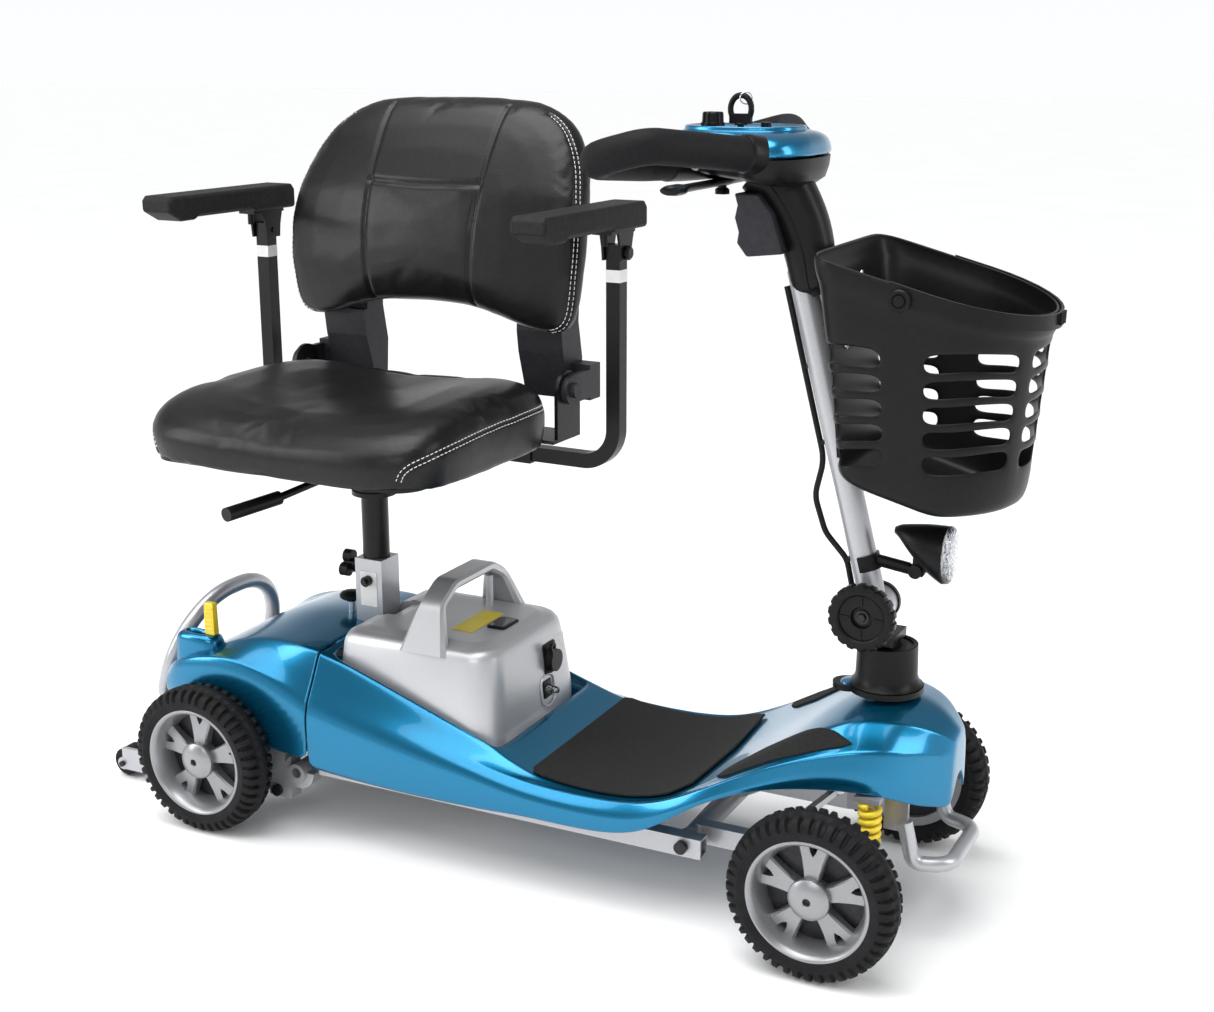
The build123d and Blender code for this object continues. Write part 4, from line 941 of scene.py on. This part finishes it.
for side, s in (("left", 1), ("right", -1)):
    pad, place = Shape(), pad_place(s)
    outline = [(-190, 785), (-190, 811), (-184, 817.5), (66, 817.5), (71.5, 812), (71.5, 797),
               (46, 783.6), (22, 783.6), (14, 789), (-96, 789), (-104, 784), (-186, 784)]
    rings = []
    for off, k in ((-24.8, 3.0), (-22, 0), (22, 0), (24.8, 3.0)):
        rings.append([(u + (k if u < -60 else -k), z + (k if z < 800 else -k), off)
                      for u, z in outline])
    pad.loft(rings)
    obj = piece(f"arm_pad_foam_{side}", pad, PU, f"pad_{side}", [f"arm_pad_{side}"],
                bevel=2.2, angle=30, place=place)
    fork = Shape()
    for w in (-12.5, 12.5):
        fork.prism([(-164, 744), (-136, 744), (-134, 762), (-128, 784), (-172, 784), (-166, 762)],
                   w - 1.8, w + 1.8)
    fork.box((-175, 779, -14), (-110, 784, 14))
    fork.revolve([(0.01, 15), (8, 15), (9.5, 17), (9.5, 19), (7, 21.5), (0.01, 21.5)], 24,
                 move=lambda p: (ARM_U + p[0], ARM_Z + p[1], s * p[2] * 0.98))
    fork.tube([(-118, 779, 0), (-118, 764, 0)], 4, 12)
    piece(f"arm_clevis_{side}", fork, BLACK_STEEL, f"pad_{side}", bevel=0.6,
          place=place)
    tag, half = Shape(), 10.3
    tag.loft([[(ARM_U + x, z, q) for x, q in ((-half, -half), (half, -half), (half, half), (-half, half))]
              for z in (716, 732)], caps=False)
    piece(f"arm_tag_{side}", tag, TAG, f"arm_{side}", place=place)

# ---- basket ----------------------------------------------------------------------
def smooth_plan(z, off=0.0):
    """Left half of the D-shaped plan at a level, from the back centre, and its running length."""
    k = (z - 500) / 310
    x0, x1, half = 830 - 33.5 * k - off, 1010 + 28 * k + off, 100 + 26 * k + off
    turn = 26
    ring = [(x0, 0), (x0, half - turn)]
    ring += [(x0 + turn - turn * math.cos(a), half - turn + turn * math.sin(a))
             for a in [math.radians(d) for d in (15, 30, 45, 60, 75, 90)]]
    r = half * 0.86
    ring += [(x1 - r + r * math.sin(a), half * math.cos(a))
             for a in [math.radians(d) for d in range(0, 91, 6)]]
    lengths = [0.0]
    for a, b in zip(ring, ring[1:]):
        lengths.append(lengths[-1] + math.hypot(b[0] - a[0], b[1] - a[1]))
    return ring, lengths


def plan_at(t, z, off=0.0):
    """Point at fraction t (0 back centre, 1 front centre, negative on the right)."""
    ring, lengths = smooth_plan(z, off)
    d = abs(t) * lengths[-1]
    for (a, b), (l0, l1) in zip(zip(ring, ring[1:]), zip(lengths, lengths[1:])):
        if d <= l1 + 1e-6:
            q = (d - l0) / max(1e-6, l1 - l0)
            return a[0] + (b[0] - a[0]) * q, math.copysign(a[1] + (b[1] - a[1]) * q, t)
    return ring[-1][0], 0.0


def rim_z(x):
    """Height of the sloping rim."""
    return 799 - (x - 798) * 61 / 236


def floor_z(x):
    """Height of the bottom, which slopes at the rear."""
    if x < 937:
        return 548 - (x - 826) * 30 / 111
    return 518 + (x - 937) * 3 / 73


half_cols = [0, 0.05, 0.1, 0.16, 0.21, 0.26, 0.3, 0.34, 0.39, 0.44, 0.48, 0.52, 0.56, 0.61, 0.67,
             0.73, 0.79, 0.84, 0.87, 0.9, 0.94, 0.97]
cols = [-c for c in reversed(half_cols[1:])] + half_cols + [1.0]
gaps = [(0.21, 0.44), (0.56, 0.84), (0.90, 1.01)]
ROWS, PITCH, SLOT_Z, SLOT_H = 5, 27, 583, 17.5
levels = ["floor", "turn"]
for i in range(ROWS):
    levels += [("lo", i), ("hi", i)]
levels += ["band", "lip_in", "lip", "top"]


def basket_point(t, level):
    """A point of the shell: its plan and height settle in a few rounds."""
    z = 660.0
    off = 0.0
    for _ in range(3):
        x, y = plan_at(t, z, off)
        if level == "floor":
            z, off = floor_z(x), -9.0
        elif level == "turn":
            z, off = floor_z(x) + 9, 0.0
        elif level == "band":
            z = rim_z(x) - 27
        elif level == "lip_in":
            z, off = rim_z(x) - 26, 3.0
        elif level == "lip":
            z, off = rim_z(x) - 3, 3.4
        elif level == "top":
            z, off = rim_z(x), 1.0
        else:
            wave = 2.2 * math.sin(abs(t) * 18 + level[1] * 0.4)
            edge_up = SLOT_H / 2 if level[0] == "hi" else -SLOT_H / 2
            z = SLOT_Z + PITCH * level[1] + wave + edge_up
            z -= max(0.0, 0.5 - abs(t)) * 16 * (1 - level[1] / 5)
    return (x, y, z)


n = len(cols)
verts = [basket_point(t, level) for level in levels for t in cols]
faces = []
for k in range(len(levels) - 1):
    for i in range(n):
        j = (i + 1) % n
        middle = abs(cols[i] + (cols[j] if j else -1.0)) / 2 if i < n - 1 else 0.985
        slot_row = isinstance(levels[k], tuple) and levels[k][0] == "lo"
        if slot_row and any(a < middle < b for a, b in gaps):
            continue
        faces.append((k * n + i, k * n + j, (k + 1) * n + j, (k + 1) * n + i))
shape = Shape()
shape.add(verts, faces)
floor_ring = verts[:n]
inner = [(925 + (x - 925) * 0.5, y * 0.5, (z + floor_z(925)) / 2) for x, y, z in floor_ring]
shape.add(floor_ring + inner, [(i, (i + 1) % n, n + (i + 1) % n, n + i) for i in range(n)])
shape.add(inner, [tuple(range(n))])
piece("basket_shell", shape, PLASTIC, "basket_unit", ["basket"], sub=2,
      solid=3.2)

# the handle lies round the front of the rim
bail = Shape()
arc = [0.475 + 0.05 * k for k in range(11)]
path = arc + [1.0] + [-t for t in reversed(arc)]
strip = []
for t in path:
    x, y = plan_at(t, 740, 7.2)
    strip.append((x, y, rim_z(x) - 2.2))
rings = []
for i, (x, y, z) in enumerate(strip):
    nx, ny = x - 915, y
    length = math.hypot(nx, ny)
    nx, ny = nx / length, ny / length
    tall = 14 if 1 < i < len(strip) - 2 else 19
    rings.append([(x, y, z + 2.5), (x - nx * 3.2, y - ny * 3.2, z + 2.5),
                  (x - nx * 3.2, y - ny * 3.2, z - tall), (x, y, z - tall)])
bail.loft(rings)
BAIL = Vector((900, 0, 757))
for s in (1, -1):
    bail.revolve([(0.01, 126.5), (12, 126.5), (12, 131.8), (10.5, 133.4), (8, 133.4), (7, 132), (6.4, 132),
                  (5.6, 134), (0.01, 134)], 36, move=lambda p, s=s: (BAIL.x + p[0], s * p[2], BAIL.z + p[1]))
for k in (-9, 0, 9):
    x, _ = plan_at(1.0, 740, 8.6)
    bail.tube([(x, k, rim_z(x) - 12), (x + 0.5, k, rim_z(x) + 2)], 1.8, 8)
piece("basket_bail_band", bail, PLASTIC, "basket_bail", ["basket_handle"],
      bevel=1.2, angle=30)
screws = Shape()
for y, dz in ((-34, 0), (34, 0), (-34, -70), (34, -70)):
    x, _ = plan_at(0.0, 760 + dz, -3.4)
    screws.revolve([(0.01, 0), (5, 0), (4.6, 1.6), (2, 2.4), (0.01, 2.4)], 18,
                   move=x_axis(x, y, 760 + dz))
piece("basket_screws", screws, GREY_METAL, "basket_unit")

# ---- grips, console and neck --------------------------------------------------------
grips, sockets = Shape(), Shape()
for s in (1, -1):
    path = rounded([(722, s * 62, 894), (649, s * 207, 911), (581, s * 213, 893), (596, s * 110, 885),
                    (612, s * 58, 883)], 33, 14)
    grips.tube(path, 19.0, 28)
    front_way = smooth_line([(700, 0, 889), (717, s * 30, 890), (722, s * 52, 892.5), (715, s * 76, 896),
                             (707, s * 91, 898.2)], 6)
    sockets.tube(front_way, [21.0] * (len(front_way) - 2) + [20.6, 19.4], 28)
    rear_way = smooth_line([(640, s * 10, 884), (620, s * 40, 883), (611, s * 60, 883.3),
                            (607, s * 72, 883.6)], 6)
    sockets.tube(rear_way, [20.6] * (len(rear_way) - 2) + [20.2, 19.2], 28)
piece("foam_grips", grips, FOAM, "tiller", ["hand_grips"], angle=60)
piece("grip_sockets", sockets, PLASTIC, "tiller", angle=50)

CONSOLE_SIDE = [(764, 0), (763, 26), (757, 54), (744, 76), (724, 84), (704, 78), (688, 66),
                (655, 60), (618, 48), (600, 24), (596, 0)]
PANEL_SIDE = [(742, 0), (741, 16), (735, 30), (722, 42), (706, 48), (690, 50), (674, 50),
              (650, 48), (622, 38), (607, 18), (604, 0)]


def both_halves(side):
    """Closed smooth outline from one half, drawn from front to rear."""
    plan = side + [(x, -y) for x, y in reversed(side[1:-1])]
    return smooth_line([(x, y, 0) for x, y in plan[-2:] + plan + plan[:2]], 4)[8:-8]


WIDE, NARROW = both_halves(CONSOLE_SIDE), both_halves(PANEL_SIDE)
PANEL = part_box("console_cover")[1].z / MM


def console_ring(w, z, tip=0.0, k=1.0, cx=700):
    """Ring between the wide shoulder (w 0) and the raised panel (w 1)."""
    ring = []
    for a, b in zip(WIDE, NARROW):
        p = a.lerp(b, w)
        ring.append((cx + (p.x - cx) * k, p.y * k, z + tip * (p.x - 670) / 72))
    return ring


shell = Shape()
shell.loft([console_ring(*row) for row in (
    (0, PANEL - 31), (-0.03, PANEL - 28), (-0.02, PANEL - 22), (0.06, PANEL - 15), (0.22, PANEL - 9.5),
    (0.48, PANEL - 5.6), (0.8, PANEL - 3.6), (0.96, PANEL - 3.2), (1, PANEL - 2.6), (1, PANEL + 1),
    (1, PANEL + 1.8, 0, 0.975), (1, PANEL + 1.4, 0, 0.94), (1, PANEL - 0.8, 0, 0.92),
    (1, PANEL - 0.8, 0, 0.4), (1, PANEL - 0.8, 0, 0.02))])
piece("console_shell", shell, BLUE, "tiller", ["console_cover"], sub=1, angle=60)
neck = Shape()
neck.loft([console_ring(*row) for row in (
    (0, PANEL - 55, -6, 0.4), (0, PANEL - 54, -6, 0.8), (0, PANEL - 49, -5, 0.93), (0, PANEL - 40, -2, 0.985),
    (0, PANEL - 31.4), (0, PANEL - 31, 0, 0.9))])
line = smooth_line([(764, 0, 742), (761, 0, 752), (755, 0, 785), (745, 0, 815), (728, 0, 845),
                    (704, 0, 876)], 5)
widths = smooth_line([(34, 28, 0), (51, 41, 0), (57, 47, 0), (62, 52, 0), (67, 57, 0), (74, 62, 0)], 5)
SIDES = 36
rings = []
for i, p in enumerate(line):
    t = (line[min(i + 1, len(line) - 1)] - line[max(i - 1, 0)]).normalized()
    across = Vector((-t.z, 0, t.x))
    d, w = widths[i].x / 2, widths[i].y / 2
    rings.append([p + across * d * math.copysign(abs(math.cos(a)) ** 0.85, math.cos(a))
                  + Vector((0, w * math.copysign(abs(math.sin(a)) ** 0.85, math.sin(a)), 0))
                  for a in angles(SIDES)])
first = rings[0]
mid = sum(first, Vector()) / SIDES
rings.insert(0, [mid + (p - mid) * 0.8 + Vector((1, 0, -5)) for p in first])
neck.loft(rings)
for s in (1, -1):
    neck.tube([p + Vector((0, s * (widths[i].y / 2 + 0.1), 0)) for i, p in enumerate(line)][3:-2],
              1.0, 8)
neck.tube([(647, 0, 850), (647, 0, 872)], 5, 20)
neck.revolve([(0.01, -4), (9, -4), (9, 1), (7, 3), (0.01, 3)], 6, move=at(647, 0, 850))
piece("neck_shell", neck, PLASTIC, "tiller", ["tiller_shroud"], angle=50)

lever = Shape()
rings = []
for y, w, h in ((-147, 5, 2.2), (-145, 12, 5), (-134, 15, 6), (-122, 12, 6), (-108, 6.5, 4.5),
                (-60, 6, 4.5), (-20, 9, 4.5), (0, 12, 5), (20, 9, 4.5), (60, 6, 4.5),
                (108, 6.5, 4.5), (122, 12, 6), (134, 15, 6), (145, 12, 5), (147, 5, 2.2)):
    rings.append([(647 + w * math.cos(a + 0.2), y, 860 + h * math.sin(a + 0.2)) for a in angles(16)])
lever.loft(rings)
piece("throttle_paddles", lever, PLASTIC, "throttle", ["throttle_lever"],
      angle=50)

def knurl(r, h, a):
    """Ribs round the dial."""
    return (r - (1.5 if r > 10 and int(a / (2 * math.pi) * 20) % 2 else 0), h)


dial, on_dial = Shape(), at(*top_of("speed_dial"))
dial.revolve([(4, -22), (4, -15.6), (13.6, -15.4), (13.6, -12), (12.2, -11), (11.8, -1.4),
              (10.6, 0), (0.01, 0)], 144, shape=knurl, move=on_dial)
dial.box((-0.8, -11, -0.2), (0.8, -3, 0.5), move=on_dial)
piece("ribbed_dial", dial, PLASTIC, "dial", ["speed_dial"], angle=30)

kx, kz = top_of("ignition_key")[0], PANEL
key = Shape()
key.revolve([(3.6, -12), (3.6, 1.2), (7.5, 1.2), (7.5, 3), (6.5, 4), (0.01, 4)], 28,
            move=at(kx, 0, kz))
loop = [(kx + 12.5 * math.cos(a), 0, kz + 19 + 15 * math.sin(a)) for a in angles(40, 41)]
key.tube(loop, 3.4, 12, caps=False)
key.box((kx - 13, -3.4, kz + 3), (kx + 13, 3.4, kz + 14))
piece("key_with_loop", key, PLASTIC, "key", ["ignition_key"], bevel=0.5,
      angle=40)
ring = Shape()
ring.tube([(kx + 6 + 6 * math.cos(a), 3.4 * math.cos(a), kz + 31 + 6.5 * math.sin(a))
           for a in angles(28, 29)], 0.8, 8, caps=False)
piece("key_ring", ring, GREY_METAL, "key")

# flat pocket under the console
pocket = Shape()
outline = [(694, 781), (737, 786), (722, 830), (706, 851), (678, 851), (682, 838), (679, 824),
           (684, 808), (682, 796)]
pocket.prism(outline, -41, 41, move=across_y)
piece("pocket_shell", pocket, GREY_PLASTIC, "tiller", ["rear_pocket"],
      bevel=2.5)

# ---- suspension springs: each coil stretches between the two frames -----------------
spring_lo, spring_hi = (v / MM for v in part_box("suspension_springs"))
WIRE = 3.5
coil_r = (spring_hi.x - spring_lo.x) / 2 - WIRE
coil_x = (spring_hi.x + spring_lo.x) / 2
coil_y = spring_hi.y - coil_r - WIRE
z0, z1, turns = spring_lo.z + WIRE, spring_hi.z - WIRE, 4.75
for side, s in (("left", 1), ("right", -1)):
    coil = Shape()
    steps = int(turns * 28)
    coil.tube([(coil_x + coil_r * math.cos(2 * math.pi * turns * k / steps),
                s * coil_y + coil_r * math.sin(2 * math.pi * turns * k / steps),
                z0 + (z1 - z0) * k / steps)
               for k in range(steps + 1)], WIRE, 12)
    spring = piece(f"coil_{side}", coil, SPRING, None,
                   ["suspension_springs"] if s > 0 else [], angle=60)
    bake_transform(spring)

# ---- tilt knob ------------------------------------------------------------------------
knob_c = (PIVOT.x, -46, PIVOT.z)


def grip_rim(r, h, a):
    """Notches round the handwheel."""
    if r > 33 and math.degrees(a) % 20 < 6:
        return r - 2.0, h
    return r, h


knob = Shape()
facing = y_axis(*knob_c, -1)
knob.revolve([(14, -12), (14, -8), (36, -8), (39, -6.5), (40, -4), (40, 4.5), (38.5, 7),
              (35.5, 8), (29, 8), (27, 6.5), (26, 4), (13, 3.6), (12, 1.5), (11.5, -1), (0.01, -1)],
             144, shape=grip_rim, move=facing)
for k in range(4):
    a = math.radians(90 * k)
    knob.box((15, -1.1, 3), (26, 1.1, 5.2), move=lambda p, a=a: facing(
        (p[0] * math.cos(a) - p[1] * math.sin(a), p[0] * math.sin(a) + p[1] * math.cos(a),
         p[2])))
knob.tube([(PIVOT.x, -38, PIVOT.z), (PIVOT.x, 38, PIVOT.z)], 6, 20)
piece("tilt_handwheel", knob, PLASTIC, "tilt_lock", ["tilt_knob"], angle=30)
nut = Shape()
bolt(nut, y_axis(knob_c[0], knob_c[1] + 0.6, knob_c[2], -1), 5.5, 5)
bolt(nut, y_axis(PIVOT.x, 28, PIVOT.z, 1), 7, 6)
piece("tilt_bolt", nut, BOLT, "tilt_lock")

# ---- headlight ----------------------------------------------------------------------------
lamp_lo, lamp_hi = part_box("headlight_lens")
lamp_x, lamp_z = lamp_lo.x / MM, (lamp_lo.z + lamp_hi.z) / 2 / MM


def lamp_ring(x, w, h, z=lamp_z):
    """An upright oval of half width w and half height h."""
    return [(x, w * math.cos(a), z + h * math.sin(a)) for a in angles(36)]


rows = smooth_line([(869, 5, 4), (876, 12, 8), (890, 21, 17), (908, 27, 27), (lamp_x - 2, 29.5, 33.5),
                    (lamp_x + 3, 29, 33)], 4)
heights = smooth_line([(0, 0, z) for z in (475, 474, 467, 459, lamp_z, lamp_z)], 4)
body = Shape()
body.loft([lamp_ring(r.x, r.y, r.z, h.z) for r, h in zip(rows, heights)])
body.prism([(892, 424), (904, 424), (912, 440), (912, 448), (892, 448)], -5, 5,
           move=across_y)
body.revolve([(0.01, -5), (7, -5), (7, 5), (0.01, 5)], 24, move=y_axis(896, 0, 430))
piece("lamp_body", body, PLASTIC, "headlight", ["headlight_housing"], angle=50)
bowl = Shape()
bowl.loft([lamp_ring(lamp_x + x, w, h) for x, w, h in (
    (3.2, 28, 32), (-1.5, 20, 23), (-5, 9, 10), (-5.5, 1, 1))])
piece("lamp_reflector", bowl, REFLECTOR, "headlight", angle=60)
glass = Shape()
glass.loft([lamp_ring(lamp_x + x, w, h) for x, w, h in (
    (3.0, 30, 34), (6.5, 29.5, 33.4), (9.4, 26, 29.5), (10.8, 16, 18), (11.2, 2, 2))])
piece("lamp_lens", glass, LENS, "headlight", ["headlight_lens"], angle=60)

# ---- battery pack -------------------------------------------------------------------------
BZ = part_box("battery_case")[0].z / MM
SHOULDER_Z = 176                # above this the case draws in
TAPER = 11                      # mm that the front draws in
TAPER_H = 104


def case_outline(z, inset=0.0):
    """The case's plan at a height, with the recess for the seat post at its rear."""
    k = max(0.0, (z - SHOULDER_Z) / TAPER_H)
    low = min(1, (z - BZ) / 71)
    x1, half = 402 - 2 * low - TAPER * k - inset, 122 - 0.5 * low - 16.5 * k - inset
    x0, corner = 166 + inset, 40 - inset * 0.5
    ring = []
    for cx, cy, a0 in ((x1 - corner, half - corner, 90), (x1 - corner, -half + corner, 0)):
        ring += [(cx + corner * math.cos(a), cy + corner * math.sin(a))
                 for a in [math.radians(a0 - 9 * i) for i in range(11)]]
    ring += [(x0 + 14, -half), (x0 + 4, -half + 4), (x0, -half + 14), (x0, -32), (x0 + 18, -30),
             (x0 + 20, -28), (x0 + 20, 28), (x0 + 18, 30), (x0, 32), (x0, half - 14),
             (x0 + 4, half - 4), (x0 + 14, half)]
    return [(x, y, z) for x, y in ring]


case = Shape()
case.loft([case_outline(*row) for row in (
    (BZ, 4), (BZ + 4, 0), (176, 0), (230, -1), (262, 0), (268, 1.2), (273, 4), (275.5, 7.5), (276.4, 12),
    (277, 17), (279.6, 22), (280, 26), (280, 40))])
HANDLE_X = 292
rail_path = rounded([(HANDLE_X, y, z) for y, z in (
    (-103, 262), (-80, 322), (-46, 341), (46, 341), (80, 322), (103, 262))], 30, 6)
rings = []
for i, p in enumerate(rail_path):
    t = (rail_path[min(i + 1, len(rail_path) - 1)] - rail_path[max(i - 1, 0)]).normalized()
    out = Vector((0, -t.z, t.y))
    foot = min(1.0, max(0.0, (322 - p.z) / 58))
    a, b = 17 + 18 * foot, 6.5 + 3 * foot
    rings.append([p + Vector((dx * a, 0, 0)) + out * dz * b for dx, dz in
                  ((-1, -0.4), (-0.8, -1), (0.8, -1), (1, -0.4), (1, 0.5), (0.82, 1), (-0.82, 1),
                   (-1, 0.5))])
case.loft(rings)
piece("battery_shell", case, SILVER_PLASTIC, "battery", ["battery_case"],
      bevel=1.2, angle=28)


def capsule(r, half, n=24):
    """Plan outline of a rounded bar, long in y."""
    return [(r * math.cos(a), math.copysign(half, math.sin(a)) + r * math.sin(a))
            for a in [2 * math.pi * (k + 0.5) / n for k in range(n)]]


def soft_box(w, h, r, n=5):
    """Rectangle outline with rounded corners."""
    ring = []
    for cx, cy, a0 in ((w - r, h - r, 0), (r - w, h - r, 90), (r - w, r - h, 180), (w - r, r - h, 270)):
        ring += [(cx + r * math.cos(a), cy + r * math.sin(a))
                 for a in [math.radians(a0 + 90 * k / n) for k in range(n + 1)]]
    return ring


def patch(name, outline, levels, move, mat, body, bevel=0.4):
    """A thin raised plate; levels are (height, scale)."""
    plate = Shape()
    plate.loft(stepped(outline, levels), move=move)
    piece(name, plate, mat, body, bevel=bevel, angle=30)


def case_x(z):
    """How far forward the case's front wall is at a height."""
    return 400 - TAPER * max(0.0, (z - SHOULDER_Z) / TAPER_H)


def on_front(y, z):
    """Placing on the case's sloping front wall."""
    return lambda p: (case_x(z) + p[2] - p[1] * (TAPER / TAPER_H), y + p[0], z + p[1])


trim = Shape()
trim.loft(stepped(soft_box(17, 21, 5), ((-2, 1), (1.8, 1), (2.6, 0.94))), move=on_front(40, 228))
trim.loft(stepped(soft_box(14, 22, 6), ((278.5, 1), (281.6, 1), (282.4, 0.93))),
          move=at(348, 0, 0))
trim.revolve([(8.1, -12), (15.5, -12), (15.5, 2), (14, 3.2), (8.1, 3.2), (8.1, -12)], 40,
             move=x_axis(400.6, 40, 226))
trim.loft(stepped(soft_box(11, 12, 3), ((-2, 1), (1.2, 1), (1.8, 0.9))), move=on_front(26, 190))
piece("battery_trim", trim, PLASTIC, "battery", bevel=0.5, angle=30)
patch("gauge_window", soft_box(10.5, 17.5, 3), ((280, 1), (282.9, 1)), at(348, 0, 0), SMOKE,
      "battery")
patch("top_tag", soft_box(16, 42, 2), ((278, 1), (280.5, 1)), at(314, -6, 0), YELLOW_TAG,
      "battery", 0)
patch("front_tag", soft_box(24, 13, 2), ((-2, 1), (0.5, 1)), on_front(-8, 224), TAG, "battery",
      0)
patch("side_tag", soft_box(11, 14, 2), ((-2, 1), (0.5, 1)), on_front(72, 236), TAG, "battery",
      0)
ridge, put = Shape(), on_front(26, 188)
bead = [put((x * 17.5 / 12, y, 1.4)) for x, y in capsule(12, 9)]
ridge.tube(bead + bead[:1], 1.5, 8, caps=False)
piece("breaker_rim", ridge, SILVER_PLASTIC, "battery")
dome = Shape()
dome.revolve([(7, 0), (7, 3), (5.6, 6), (4.6, 8), (4.4, 15), (3.4, 17.4), (0.01, 18)], 28,
             move=x_axis(398.6, 26, 190))
piece("breaker_boot", dome, LENS, "battery")
posts = Shape()
for y in (62, -62):
    posts.tube([(HANDLE_X, y, 279), (HANDLE_X, y, 322)], 5.5, 20)
piece("handle_posts", posts, SILVER_PLASTIC, "battery")

# ---- small fittings --------------------------------------------------------------------------
button = Shape()
button.revolve([(0.01, 2.6), (7.5, 2.6), (10.5, 1.4), (11.5, 0), (11.5, -0.5)], 36,
               move=lambda p: (824 + p[0] * 0.75, -14 + p[1] * 1.15, 288 + p[2]))
piece("boot_button", button, BLUE_BUTTON, "chassis")
gaiter = Shape()
boot_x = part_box("steering_boot")[1].x / MM - 44
gaiter.revolve([(16, 335.4), (24, 336.4), (30.5, 336), (33.2, 339), (35.2, 338.4), (35.4, 334),
                (36.2, 300), (39, 292), (43, 289)], 48, move=at(boot_x, 0, 0))
piece("boot_skirt", gaiter, PLASTIC, "chassis")
patch("post_tag", soft_box(13, 24, 1.5), ((0, 1), (0.6, 1)), y_axis(154, -21.1, 306, -1), TAG,
      "chassis", 0)
pull = Shape()
px, py, pz = top_of("latch_knob")
pull.revolve([(0.01, 0), (7, -0.4), (13, -2.4), (16, -6), (16, -9), (13, -11.6), (7.5, -12.4),
              (7, -15), (0.01, -15)], 40, move=at(px, py, pz))
piece("pull_knob", pull, PLASTIC, "latch", ["latch_knob"])
stem = Shape()
stem.tube([(px, py, pz - 90), (px, py, pz - 12)], 5, 24)
piece("pull_stem", stem, GREY_METAL, "latch")
